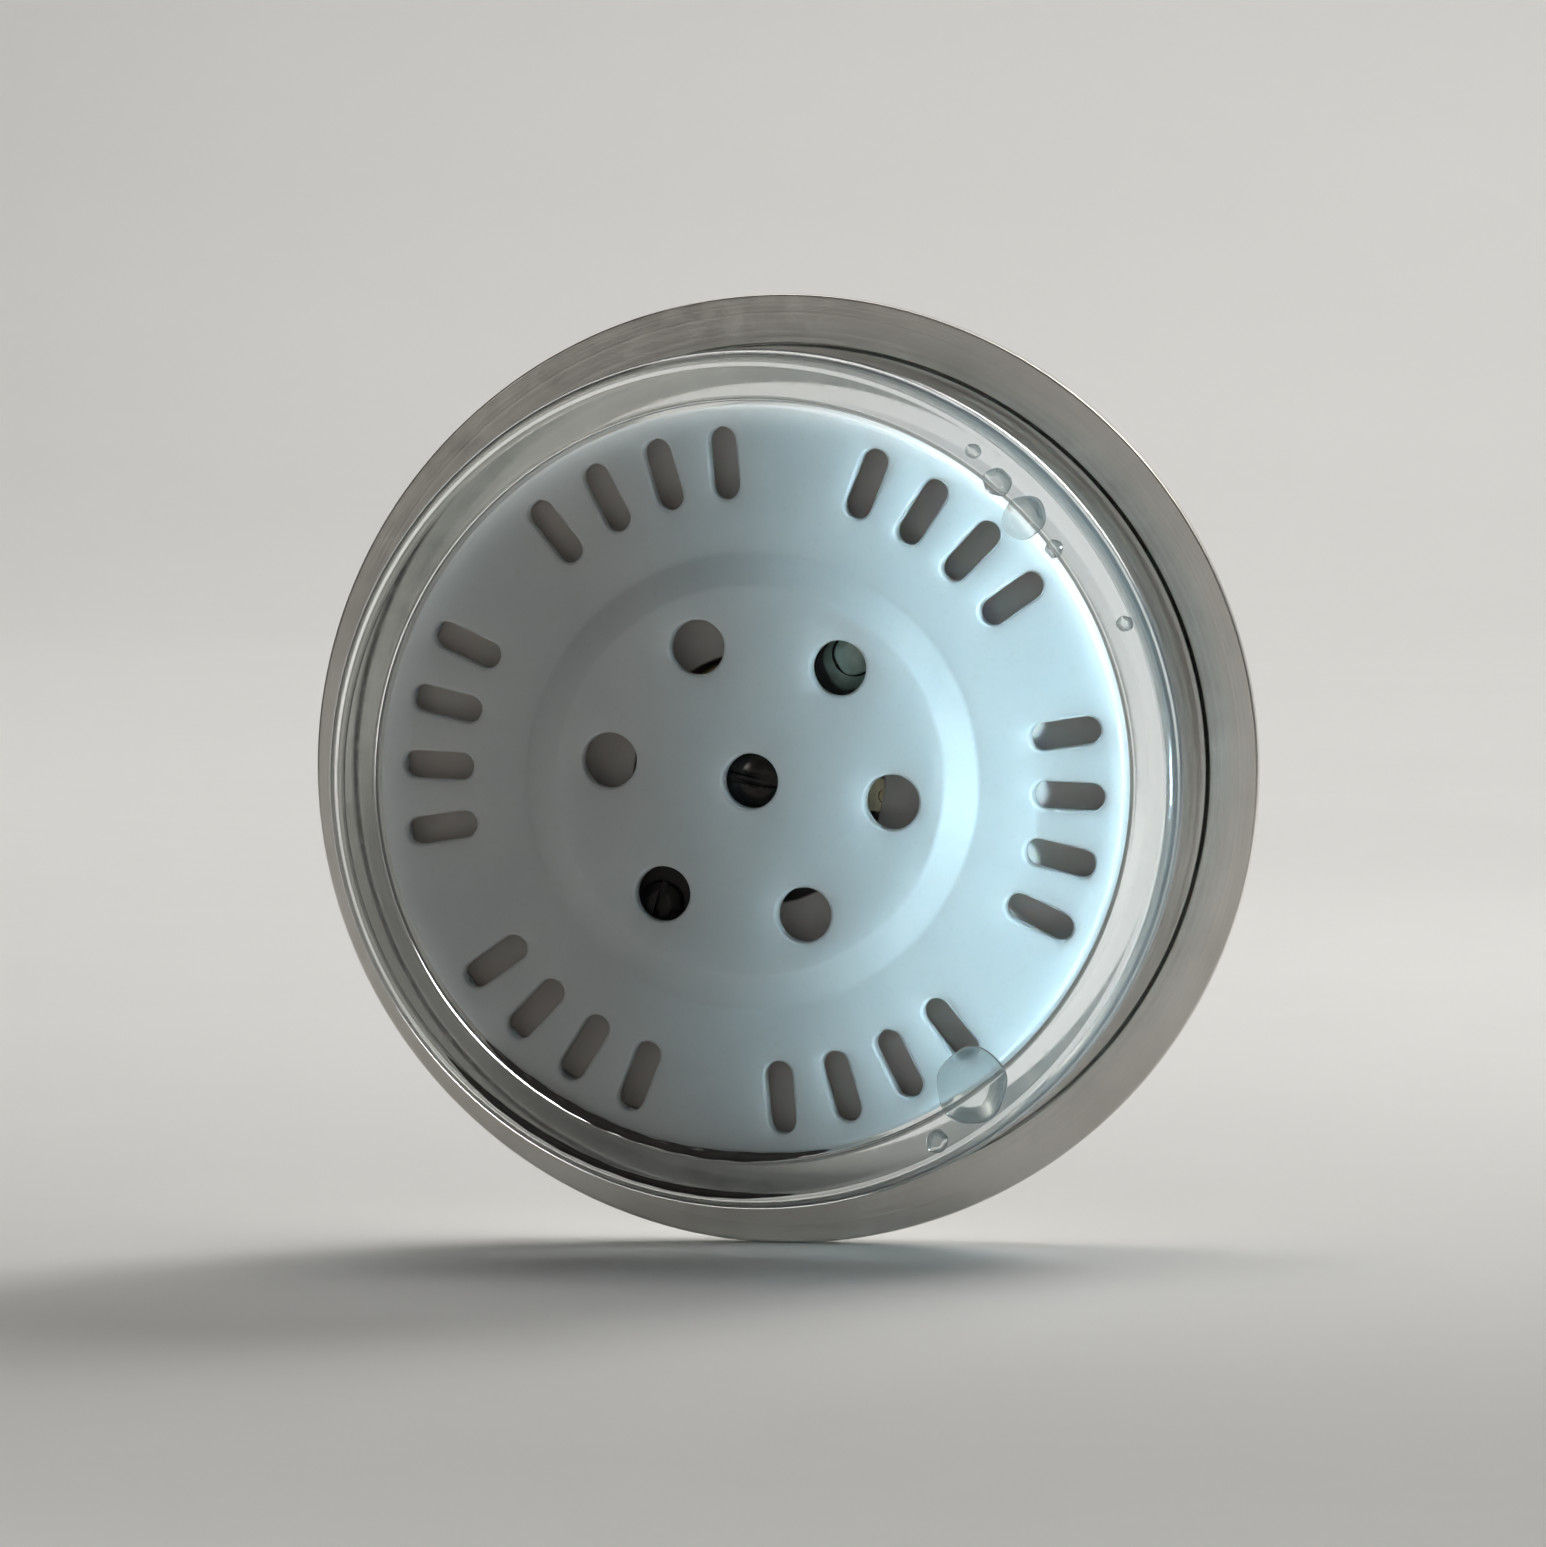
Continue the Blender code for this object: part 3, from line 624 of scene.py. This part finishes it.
def make_clear_case():
    outline = dome(BEZEL_LIP_R - 0.2, CASE_FRONT_Y, WINDOW_SAG)
    shoulder = rounded([
        (BEZEL_LIP_R - 0.2, CASE_FRONT_Y, 0.0), (CASE_R, CASE_FRONT_Y, 0.2), (CASE_R, CASE_REAR_Y, 0.8),
        (BORE_R, CASE_REAR_Y, 0.25), (BORE_R, CASE_FRONT_Y + WINDOW_THICK, 0.0)], 8)
    inner = dome(BORE_R, CASE_FRONT_Y + WINDOW_THICK, WINDOW_SAG)[::-1]
    outline += shoulder[1:] + inner[1:]
    case = lathe("clear_case_moulding", outline, CLEAR, closed=False)
    case.data.materials.append(HAZY)
    for face in case.data.polygons:
        if face.center.y > HAZE_START_Y * MM:
            face.material_index = 1
    return stand_for(case, "clear_case", "case")


def make_bezel():
    lip_rear = CASE_FRONT_Y - 0.05
    corners = [
        (BEZEL_BORE_R, SEAT_Y, 0.05), (BEZEL_BORE_R, lip_rear, 0.05), (BEZEL_LIP_R, lip_rear, 0.06),
        (BEZEL_LIP_R, BEZEL_CREST_Y + 0.45, 0.1), (BEZEL_LIP_R + 0.5, BEZEL_CREST_Y + 0.1, 0.15),
        (BEZEL_LIP_R + 0.75, BEZEL_CREST_Y + 0.25, 0.08), (BEZEL_LIP_R + 1.0, BEZEL_CREST_Y, 0.3),
        (BEZEL_R - 0.9, BEZEL_CREST_Y + 0.25, 1.6), (BEZEL_R, -0.75, 0.4), (BEZEL_R, SEAT_Y, 0.08)]
    bezel = lathe("bezel_pressing", closed_round(corners, 6), NICKEL)
    return stand_for(bezel, "bezel_ring", "case")


def make_spacer():
    corners = [
        (SPACER_MOUTH_R, SPACER_FRONT_Y, 0.08), (SPACER_R, SPACER_FRONT_Y, 0.05),
        (SPACER_R, SPACER_REAR_Y, 0.05),
        (SPACER_INNER_R, SPACER_REAR_Y, 0.05), (SPACER_INNER_R, SPACER_REAR_Y - 0.25, 0.06),
        (SPACER_INNER_R + 0.25, SPACER_REAR_Y - 0.4, 0.05)]
    spacer = lathe("spacer_moulding", closed_round(corners), IVORY)
    return stand_for(spacer, "spacer_ring", "case")


def opening_outline(radius, length, width, degrees, steps=14):
    """A round hole with a round-ended slot across it."""
    turn = Matrix.Rotation(math.radians(degrees), 2)

    def points(grow):
        half = width / 2.0 + grow
        meet = math.degrees(math.asin(half / (radius + grow)))
        made = []
        for side in (0.0, 180.0):
            flip = Matrix.Rotation(math.radians(side), 2)
            for i in range(steps + 1):
                x, z = polar(half, -90.0 + 180.0 * i / steps)
                made.append(flip @ Vector(((length - width) / 2.0 + x, z)))
            for i in range(steps + 1):
                made.append(flip @ Vector(polar(radius + grow, meet + (180.0 - 2.0 * meet) * i / steps)))
        return [tuple(turn @ point) for point in made]
    return points


def make_baffle():
    """Shallow cup with an opening for the coil and the bridge."""
    bm = bmesh.new()
    wall_r = BAFFLE_R - BAFFLE_WALL
    floor_y = BAFFLE_REAR_Y - BAFFLE_THICK
    cup = rounded([
        (BAFFLE_R - 0.4, BAFFLE_REAR_Y, 0.0), (BAFFLE_R, BAFFLE_REAR_Y, 0.15),
        (BAFFLE_R, BAFFLE_FRONT_Y, 0.05), (wall_r, BAFFLE_FRONT_Y, 0.05), (wall_r, floor_y, 0.3),
        (wall_r - 0.5, floor_y, 0.0)])
    rear_edge, floor_edge = skin(bm, cup)
    opening = opening_outline(BAFFLE_HOLE_R, *BRIDGE_OPENING, BRIDGE_ANGLE)
    rear_mouth, floor_mouth = wall(bm, opening, edge_levels(floor_y, BAFFLE_REAR_Y, 0.08))
    fill(bm, [rear_edge, rear_mouth])
    fill(bm, [floor_edge, floor_mouth])
    baffle = finish_mesh("baffle_moulding", bm, WARM_IVORY)
    return stand_for(baffle, "baffle_plate", "case")


def make_rear_cover():
    """One closed moulding: rim face, sloped step, raised centre, skirt, holes and slots."""
    bm = bmesh.new()
    ceiling_y = COVER_TOP_Y - COVER_WALL
    inner_y = COVER_FACE_Y - COVER_WALL
    soft = 0.12
    skirt = rounded([
        (COVER_R - 0.5, COVER_FACE_Y, 0.0), (COVER_R, COVER_FACE_Y, 0.22), (COVER_R, COVER_FRONT_Y, 0.08),
        (SKIRT_R, COVER_FRONT_Y, 0.08), (SKIRT_R, inner_y, 0.0)])
    step = rounded([
        (STEP_BASE_R + 0.6, COVER_FACE_Y, 0.0), (STEP_BASE_R, COVER_FACE_Y, 0.5),
        (STEP_TOP_R, COVER_TOP_Y, 0.5), (STEP_TOP_R - 0.6, COVER_TOP_Y, 0.0)])
    hollow = rounded([
        (STEP_BASE_R - 0.1, inner_y, 0.0), (STEP_BASE_R - 0.4, inner_y, 0.1),
        (STEP_TOP_R - 0.35, ceiling_y, 0.1), (STEP_TOP_R - 0.6, ceiling_y, 0.0)])
    rim_outer, skirt_inner = skin(bm, skirt)
    step_base, step_top = skin(bm, step)
    hollow_base, hollow_top = skin(bm, hollow)

    holes = [circle_outline(0.0, 0.0, VENT_HOLE_R)]
    slots = []
    for group in range(VENT_GROUPS):
        middle = VENT_TURN + group * 360.0 / VENT_GROUPS
        holes.append(circle_outline(*polar(VENT_CIRCLE_R, middle), VENT_HOLE_R))
        for i in range(SLOTS_PER_GROUP):
            angle = middle + (i - (SLOTS_PER_GROUP - 1) / 2.0) * SLOT_PITCH
            slots.append(slot_outline(SLOT_MIDDLE_R, angle, SLOT_LENGTH, SLOT_WIDTH))
    hole_loops = [wall(bm, hole, edge_levels(ceiling_y, COVER_TOP_Y, soft)) for hole in holes]
    slot_loops = [wall(bm, slot, edge_levels(inner_y, COVER_FACE_Y, soft)) for slot in slots]

    fill(bm, [rim_outer, step_base] + [pair[0] for pair in slot_loops])
    fill(bm, [step_top] + [pair[0] for pair in hole_loops])
    fill(bm, [skirt_inner, hollow_base] + [pair[1] for pair in slot_loops])
    fill(bm, [hollow_top] + [pair[1] for pair in hole_loops])
    cover = finish_mesh("rear_cover_moulding", bm, WHITE, 50.0)
    return stand_for(cover, "rear_cover", "case")


def drop(name, radius, height, seat, place_r, degrees, phase, surface):
    """A flat, slightly uneven drop that has set on a face at y = seat."""
    outline = [(0.0, seat)]
    outline += rounded([
        (0.2 * radius, seat, 0.0), (radius, seat, 0.03), (0.94 * radius, seat + 0.45 * height, 0.2),
        (0.55 * radius, seat + 0.96 * height, 0.4), (0.2 * radius, seat + height, 0.0)], 4)
    outline += [(0.0, seat + height)]
    made = lathe(name, outline, surface, 64, closed=False, sharp=60.0)
    for vertex in made.data.vertices:
        angle = math.atan2(vertex.co.z, vertex.co.x) + phase
        swell = 1.0 - 0.05 * (1.0 + math.sin(2.0 * angle)) - 0.025 * (1.0 + math.sin(5.0 * angle))
        vertex.co.x *= swell
        vertex.co.z *= swell
    x, z = polar(place_r * MM, degrees)
    made.location = (x, 0.0, z)
    return made


def make_cement():
    """The drop that holds the cover, and smaller spills of it along the edge."""
    seat = CASE_REAR_Y + 0.05
    stand_for(drop("cement_drop", 1.6, 0.44, seat, COVER_R, CEMENT_ANGLE, 0.6, CLEAR),
              "cement_spot", "case")
    spills = [(0.95, 0.30, 15.0, 136.0), (0.62, 0.22, 15.3, 129.5), (0.40, 0.15, 15.1, 142.5),
              (0.34, 0.12, 15.7, 124.0), (0.50, 0.16, 15.95, 242.5), (0.36, 0.12, 16.05, 157.0)]
    for i, (radius, height, place_r, degrees) in enumerate(spills):
        spill = drop(f"cement_spill_{i + 1}", radius, height, seat, place_r, degrees, 1.7 * i, CLEAR)
        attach(spill, "case")


def make_bead(name, section, start, end, steps=72):
    """A thin bead of painted shade along part of the rim. Its (r, y) section shrinks to nothing at both ends.
    """
    middle = sum((Vector(point) for point in section), Vector((0.0, 0.0))) / len(section)
    bm = bmesh.new()
    loops = []
    for i in range(steps + 1):
        t = i / steps
        size = 0.04 + 0.96 * min(1.0, 6.0 * t, 6.0 * (1.0 - t)) ** 0.7
        size *= 0.88 + 0.12 * math.sin(23.0 * t) * math.sin(41.0 * t + 1.0)
        loop = []
        for point in section:
            r, y = middle + (Vector(point) - middle) * size
            x, z = polar(r, start + (end - start) * t)
            loop.append(bm.verts.new((x, y, z)))
        loops.append(loop)
    for near, far in zip(loops, loops[1:]):
        bridge(bm, near, far)
    bm.faces.new(loops[0])
    bm.faces.new(loops[-1])
    bead = finish_mesh(name, bm, GAP_SHADE_FILM, 60.0, weighted=False)
    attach(bead, "case")


def make_sealant():
    """Painted shade: near-black beads in the gap round the cover and on the case's rim, along the lower left
    edge, standing in for shade there.
    """
    rim = CASE_REAR_Y
    groove = [(14.83, rim - 1.1), (14.92, rim - 1.1), (14.92, rim - 0.24), (14.97, rim - 0.12),
              (15.07, rim - 0.035), (14.97, rim - 0.01), (14.80, rim - 0.005), (14.64, rim - 0.03),
              (14.76, rim - 0.12), (14.83, rim - 0.24)]
    make_bead("gap_painted_shade", groove, -102.0, -44.0)
    edge = [(16.22, rim + 0.006), (16.50, rim - 0.052), (16.56, rim - 0.05), (16.44, rim + 0.012),
            (16.34, rim + 0.028), (16.26, rim + 0.026)]
    make_bead("rim_painted_shade", edge, -96.0, -42.0)


def make_lacquer():
    """Painted reflection: green dabs over the bridge's upper screw and on the bridge beside it, whose colour
    stands in for cool light reflected off the dark bridge.
    """
    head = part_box("bridge_screw_upper")[1].y / MM
    bridge_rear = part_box("bridge")[1].y / MM
    dabs = [("screw_painted_reflection", 0.88, 0.2, head, BRIDGE_SCREW_R),
            ("bridge_painted_reflection", 1.25, 0.35, bridge_rear, BRIDGE_SCREW_R - 0.35)]
    for name, radius, height, seat, place_r in dabs:
        dab = drop(name, radius, height, seat, place_r, BRIDGE_ANGLE, 0.9, GREEN_REFLECTION_FILM)
        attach(dab, "case")


# ---- dial ----------------------------------------------------------------------------------------
def reading_angle(percent):
    """Degrees from +X towards +Z of a reading: 50 is at 12 o'clock and the scale runs clockwise."""
    return 90.0 - (percent - 50.0) * SCALE_SWEEP / 100.0


def make_dial():
    bm = bmesh.new()
    rim = rounded([
        (DIAL_R - 0.4, DIAL_FACE_Y, 0.0), (DIAL_R, DIAL_FACE_Y, 0.06), (DIAL_R, DIAL_REAR_Y, 0.06),
        (DIAL_R - 0.4, DIAL_REAR_Y, 0.0)], 3)
    face_edge, back_edge = skin(bm, rim)
    holes = [circle_outline(0.0, 0.0, DIAL_HOLE_R), circle_outline(0.0, STOP_PIN_Z, STOP_PIN_R, 24)]
    holes += [circle_outline(x, 0.0, DIAL_SCREW_HOLE_R, 24) for x in (-DIAL_SCREW_X, DIAL_SCREW_X)]
    loops = [wall(bm, hole, [(DIAL_FACE_Y, 0.0), (DIAL_REAR_Y, 0.0)]) for hole in holes]
    fill(bm, [face_edge] + [pair[0] for pair in loops])
    fill(bm, [back_edge] + [pair[1] for pair in loops])
    dial = finish_mesh("dial_printed_plate", bm, DIAL)
    return stand_for(dial, "dial_plate", "case")


def bar_outline(inner_r, outer_r, degrees, width):
    """A square-ended mark that points away from the axis."""
    turn = Matrix.Rotation(math.radians(degrees), 2)

    def points(grow):
        corners = ((inner_r, -width / 2), (outer_r, -width / 2), (outer_r, width / 2), (inner_r, width / 2))
        return [tuple(turn @ Vector(corner)) for corner in corners]
    return points


def arc_outline(inner_r, outer_r, start, end, steps):
    """A curved band between two radii."""
    def points(grow):
        spread = [start + (end - start) * i / steps for i in range(steps + 1)]
        return [polar(outer_r, a) for a in spread] + [polar(inner_r, a) for a in reversed(spread)]
    return points


def make_scale():
    """Scale marks, the thin arc that joins them and the coloured band of the wanted range."""
    bm = bmesh.new()
    for percent in range(101):
        inner_r, width = next(MARKS[step] for step in MARKS if percent % step == 0)
        bar = bar_outline(inner_r, MARK_OUTER_R, reading_angle(percent), width)
        slab(bm, bar, PRINT_FRONT_Y, PRINT_REAR_Y)
    arc = arc_outline(*SCALE_ARC, reading_angle(0), reading_angle(100), 130)
    slab(bm, arc, PRINT_FRONT_Y - 0.001, PRINT_REAR_Y)
    marks = finish_mesh("scale_marks", bm, BLACK_INK, weighted=False)
    bm = bmesh.new()
    arc = arc_outline(*BAND, *(reading_angle(percent) for percent in BAND_READINGS), 24)
    slab(bm, arc, PRINT_FRONT_Y, PRINT_REAR_Y)
    band = finish_mesh("wanted_range_band", bm, GREEN_INK, weighted=False)
    for piece in (marks, band):
        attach(piece, "case")


def text_mesh(bm, words, size, x, z):
    """Add upright characters, centred on x and z, to a mesh on the dial."""
    curve = bpy.data.curves.new("figures", "FONT")
    curve.body = words
    curve.size = size
    curve.align_x = "CENTER"
    curve.align_y = "CENTER"
    curve.resolution_u = 6
    curve.extrude = (PRINT_REAR_Y - PRINT_FRONT_Y) / 2.0
    holder = bpy.data.objects.new("figures", curve)
    bpy.context.collection.objects.link(holder)
    mesh = bpy.data.meshes.new_from_object(holder.evaluated_get(bpy.context.evaluated_depsgraph_get()))
    middle = (PRINT_REAR_Y + PRINT_FRONT_Y) / 2.0
    mesh.transform(Matrix.Translation((x, middle, z)) @ Matrix.Rotation(math.radians(90.0), 4, "X"))
    bm.from_mesh(mesh)
    bpy.data.objects.remove(holder, do_unlink=True)
    bpy.data.meshes.remove(mesh)


def make_figures():
    bm = bmesh.new()
    for percent in range(0, 101, 10):
        x, z = polar(FIGURE_R, reading_angle(percent))
        text_mesh(bm, str(percent), FIGURE_SIZE, x, z)
    text_mesh(bm, "%", PERCENT_SIZE, 0.0, PERCENT_Z)
    bmesh.ops.remove_doubles(bm, verts=bm.verts, dist=1e-5)
    figures = finish_mesh("scale_figures", bm, BLACK_INK, weighted=False)
    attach(figures, "case")


# ---- pointer -------------------------------------------------------------------------------------
def pointer_turn():
    """How far the CAD pointer stands clockwise from 12 o'clock, in radians."""
    tip = max((v.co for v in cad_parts["pointer"].data.vertices), key=lambda co: co.x ** 2 + co.z ** 2)
    return math.atan2(tip.x, tip.z)


def pointer_points(grow):
    """Tapered hand towards +Z with a hub ring and a round counterweight."""
    root, tip, end = 0.42 + grow, 0.08 + grow, HAND_LENGTH + grow
    made = [(root, 1.0), (tip, end), (-tip, end), (-root, 1.0)]
    made += [polar(HAND_HUB_R + grow, 115.0 + 130.0 * i / 12) for i in range(13)]
    for i in range(21):
        x, z = polar(WEIGHT_R + grow, 150.0 + 240.0 * i / 20)
        made.append((x, z + WEIGHT_Z))
    made += [polar(HAND_HUB_R + grow, 295.0 + 130.0 * i / 12) for i in range(13)]
    return made


def make_pointer():
    low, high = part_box("pointer")
    front, rear = low.y / MM, high.y / MM
    soft = 0.05
    bm = bmesh.new()
    levels = [(front, -soft), (front + 0.015, -soft * 0.4), (front + soft, 0.0),
              (rear - soft, 0.0), (rear - 0.015, -soft * 0.4), (rear, -soft)]
    outer_front, outer_rear = wall(bm, pointer_points, levels)
    hole_front, hole_rear = wall(bm, circle_outline(0.0, 0.0, HAND_HOLE_R), [(front, 0.0), (rear, 0.0)])
    fill(bm, [outer_front, hole_front])
    fill(bm, [outer_rear, hole_rear])
    hand = finish_mesh("pointer_hand", bm, PAINT)
    hand.rotation_euler = (0.0, pointer_turn(), 0.0)
    return stand_for(hand, "pointer", "pointer_assembly")


def make_pointer_cap():
    _, front, rear = node_size("pointer_cap")
    outline = [(0.0, front)]
    outline += rounded([
        (0.05, front, 0.0), (0.75, front + 0.06, 0.7), (1.22, front + 0.5, 0.4), (CAP_R, rear - 0.2, 0.1),
        (CAP_R, rear, 0.05), (HAND_HOLE_R, rear, 0.03), (HAND_HOLE_R, HUB_REAR_Y, 0.0),
        (0.0, HUB_REAR_Y, 0.0)], 8)
    cap = lathe("pointer_cap_turned", outline, NICKEL, 96, closed=False)
    return stand_for(cap, "pointer_cap", "pointer_assembly")


# ---- screws and pin that show on the dial --------------------------------------------------------
def slotted(name, outline, top, depth, width, length, surface):
    """A turned piece with a straight slot across its end. top is the end's Y, depth is signed."""
    made = lathe(name, outline, surface, 64, closed=False)
    bm = bmesh.new()
    corners = [(-length, -width / 2), (length, -width / 2), (length, width / 2), (-length, width / 2)]
    low, high = sorted((top - depth, top + depth))
    slab(bm, lambda grow: corners, low, high)
    cutter = finish_mesh(name + "_cutter", bm, surface, weighted=False)
    made.modifiers.clear()
    cut = made.modifiers.new("slot", "BOOLEAN")
    cut.operation = "DIFFERENCE"
    cut.solver = "EXACT"
    cut.object = cutter
    bake_modifiers(made)
    soften = made.modifiers.new("soft_edges", "BEVEL")
    soften.width = 0.03 * MM
    soften.segments = 2
    soften.limit_method = "ANGLE"
    soften.angle_limit = math.radians(50.0)
    bake_modifiers(made)
    made.modifiers.new("face_weighted_normals", "WEIGHTED_NORMAL").keep_sharp = True
    bpy.data.objects.remove(cutter, do_unlink=True)
    return made


def screw(name, head_r, top, seat, shank_r, end, slot_width, surface):
    """A slotted cheese-head screw whose head runs from top to seat and whose shank ends at end."""
    outward = 1.0 if top > seat else -1.0
    outline = [(0.0, top)]
    outline += rounded([
        (0.02, top, 0.0), (head_r * 0.55, top, 0.3), (head_r, top - outward * 0.13, 0.12),
        (head_r, seat, 0.04), (shank_r, seat, 0.03), (shank_r, end, 0.08), (0.02, end, 0.0)], 5)
    outline += [(0.0, end)]
    return slotted(name, outline, top, 0.26, slot_width, 1.5 * head_r, surface)


def bake_modifiers(thing):
    """Replace an object's mesh with what its modifiers make of it, less any slivers."""
    mesh = bpy.data.meshes.new_from_object(thing.evaluated_get(bpy.context.evaluated_depsgraph_get()))
    bm = bmesh.new()
    bm.from_mesh(mesh)
    bmesh.ops.remove_doubles(bm, verts=bm.verts, dist=SLIVER * MM)
    bmesh.ops.dissolve_degenerate(bm, edges=bm.edges, dist=SLIVER * MM)
    bm.to_mesh(mesh)
    bm.free()
    mesh.name = thing.data.name
    thing.modifiers.clear()
    thing.data = mesh


def screw_ends(node):
    """Front and rear Y of a screw node."""
    ys = [round(v.co.y / MM, 3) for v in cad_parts[node].data.vertices]
    return min(ys), max(ys)


def make_screws():
    for side, node in ((1.0, "dial_screw_right"), (-1.0, "dial_screw_left")):
        front, rear = screw_ends(node)
        made = screw(node + "_turned", 1.0, front, front + 0.55, 0.42, rear, 0.3, BRASS)
        put_on_axis_of(made, node, 35.0 * side)
        stand_for(made, node, "case")
    for turn, node in ((20.0, "bridge_screw_upper"), (75.0, "bridge_screw_lower")):
        front, rear = screw_ends(node)
        made = screw(node + "_turned", 0.9, rear, rear - 0.55, 0.4, front, 0.28, BLACK_STEEL)
        put_on_axis_of(made, node, turn)
        stand_for(made, node, "case")


def put_on_axis_of(made, node, turn):
    low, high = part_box(node)
    made.location = ((low.x + high.x) / 2.0, 0.0, (low.z + high.z) / 2.0)
    made.rotation_euler = (0.0, math.radians(turn), 0.0)


def make_calibration_boss():
    """The calibration screw: a low, polished dome with a screwdriver slot."""
    head_front = BOSS_REAR_Y - BOSS_HEAD
    outline = [(0.0, BOSS_REAR_Y)]
    for i in range(1, 9):
        t = i / 8
        outline.append((BOSS_DOME_R * t, BOSS_REAR_Y - BOSS_DOME_SAG * t ** 2))
    outline += rounded([
        (BOSS_DOME_R + 0.01, BOSS_REAR_Y - BOSS_DOME_SAG - 0.01, 0.0), (BOSS_R, BOSS_REAR_Y - 0.32, 0.1),
        (BOSS_R, head_front, 0.08), (BOSS_NECK_R, head_front, 0.03), (BOSS_NECK_R, BOSS_FRONT_Y, 0.05),
        (BOSS_BORE_R, BOSS_FRONT_Y, 0.03), (BOSS_BORE_R, BOSS_BORE_Y, 0.0)], 5)
    outline += [(0.0, BOSS_BORE_Y)]
    boss = slotted("calibration_boss", outline, BOSS_REAR_Y, 0.38, 0.44, 2.5, POLISHED_BLACK)
    boss.rotation_euler = (0.0, -math.radians(ARM_ANGLE), 0.0)
    stand_for(boss, "calibration_screw", "calibrator")


# ---- CAD nodes that stay -------------------------------------------------------------------------
KEPT = {
    "stop_pin": BRASS, "movement_plate": ALUMINIUM, "front_bearing": BRASS, "pillar_upper": BRASS,
    "pillar_lower": BRASS, "bridge": BLACK_STEEL, "friction_washer": STEEL,
    "rear_bearing": BRASS, "coil_arm": BRASS, "coil_stud": BRASS, "coil_strip": BRONZE, "moisture_film": FILM,
    "arbor": STEEL, "coil_collet": BRASS, "pointer_hub": BRASS,
}


def dress_kept_nodes():
    for node, surface in KEPT.items():
        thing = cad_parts[node]
        for slot in thing.material_slots:
            slot.material = surface


# ---- stage ---------------------------------------------------------------------------------------
def make_floor():
    """Pale floor that curves up into a wall all round, far outside the views."""
    floor_y = cad_box[0].z / MM
    bm = bmesh.new()
    outline = rounded([(0.0, 0.0, 0.0), (1100.0, 0.0, 450.0), (1100.0, 900.0, 0.0)], 12)
    skin(bm, outline, 96)
    floor = finish_mesh("pale_floor", bm, floor_surface(), weighted=False)
    floor.rotation_euler = (math.radians(90.0), 0.0, 0.0)
    floor.location = (0.0, 0.0, floor_y * MM)


WARM = (1.0, 0.98, 0.95)
# Softboxes: name, place, aim, size, watts, colour, spread in degrees. The last one stands close to the
# right of the rear cover, leans up a little so that its light misses the floor, and fades to the left.
SOFTBOXES = [
    ("overhead", (0.0, -0.30, 0.70), (0.0, -0.35, 0.0), (0.6, 0.5), 1.4, WARM, 180.0),
    ("floor_behind", (0.0, -0.55, 0.45), (0.0, -0.55, 0.0), (0.5, 0.9), 0.8, WARM, 60.0),
    ("floor_ahead", (0.0, 0.55, 0.45), (0.0, 0.55, 0.0), (0.16, 0.8), 0.2, WARM, 24.0),
    ("floor_aside", (-0.55, 0.0, 0.45), (-0.55, 0.0, 0.0), (0.8, 0.16), 0.2, WARM, 24.0),
    ("window_side", (-0.30, 0.13, 0.04), (0.0, 0.008, 0.0), (0.10, 0.20), 0.02, (0.80, 0.93, 1.0), 180.0),
    ("room_side", (0.185, 0.667, 0.096), (0.0, 0.0, 0.0), (0.06, 0.06), 0.05, (1.0, 0.97, 0.92), 180.0),
    ("dial_side", (-0.16, -0.35, 0.22), (0.0, 0.0, 0.0), (0.22, 0.22), 0.10, WARM, 40.0),
    ("window_strip", (-0.1088, 0.0802, -0.0035), (-0.0116, 0.0099, 0.0017), (0.008, 0.030), 0.0015,
     (0.58, 0.86, 1.0), 6.0),
]

CAMERA_ANGLES = (188.1, 2.8)
CAMERA_DISTANCE = 0.581
CAMERA_LENS = 340.0


def softbox(name, place, aim, size, watts, colour, spread):
    data = bpy.data.lights.new(name, "AREA")
    data.shape = "RECTANGLE"
    data.size, data.size_y = size
    data.spread = math.radians(spread)
    data.energy = watts
    data.color = colour
    light = bpy.data.objects.new(name, data)
    bpy.context.collection.objects.link(light)
    light.location = place
    light.rotation_euler = (Vector(aim) - Vector(place)).to_track_quat("-Z", "Y").to_euler()


def make_light():
    world = bpy.data.worlds.new("soft_studio")
    world.use_nodes = True
    background = world.node_tree.nodes["Background"]
    background.inputs["Color"].default_value = (1.0, 0.96, 0.92, 1.0)
    background.inputs["Strength"].default_value = 0.065
    bpy.context.scene.world = world
    for row in SOFTBOXES:
        softbox(*row)


def make_camera():
    """The photograph's angle: from behind and a little above, to one side of the axis."""
    data = bpy.data.cameras.new("camera")
    data.lens = CAMERA_LENS
    data.sensor_width = 36.0
    data.clip_start = 0.02
    data.clip_end = 5.0
    camera = bpy.data.objects.new("camera", data)
    bpy.context.collection.objects.link(camera)
    azimuth, elevation = (math.radians(angle) for angle in CAMERA_ANGLES)
    away = Vector((math.sin(azimuth) * math.cos(elevation), -math.cos(azimuth) * math.cos(elevation),
                   math.sin(elevation)))
    target = (cad_box[0] + cad_box[1]) / 2.0
    camera.location = target + away * CAMERA_DISTANCE
    camera.rotation_euler = away.to_track_quat("Z", "Y").to_euler()
    bpy.context.scene.camera = camera


make_camera()
make_light()
make_floor()
make_clear_case()
make_bezel()
make_spacer()
make_baffle()
make_rear_cover()
make_cement()
# Painted shade: dark beads along the lower left gap and rim.
make_sealant()
# Painted reflection: green dabs on the bridge's upper screw.
make_lacquer()
make_dial()
make_scale()
make_figures()
make_pointer()
make_pointer_cap()
make_screws()
make_calibration_boss()
dress_kept_nodes()

bpy.context.scene.view_settings.view_transform = "Standard"
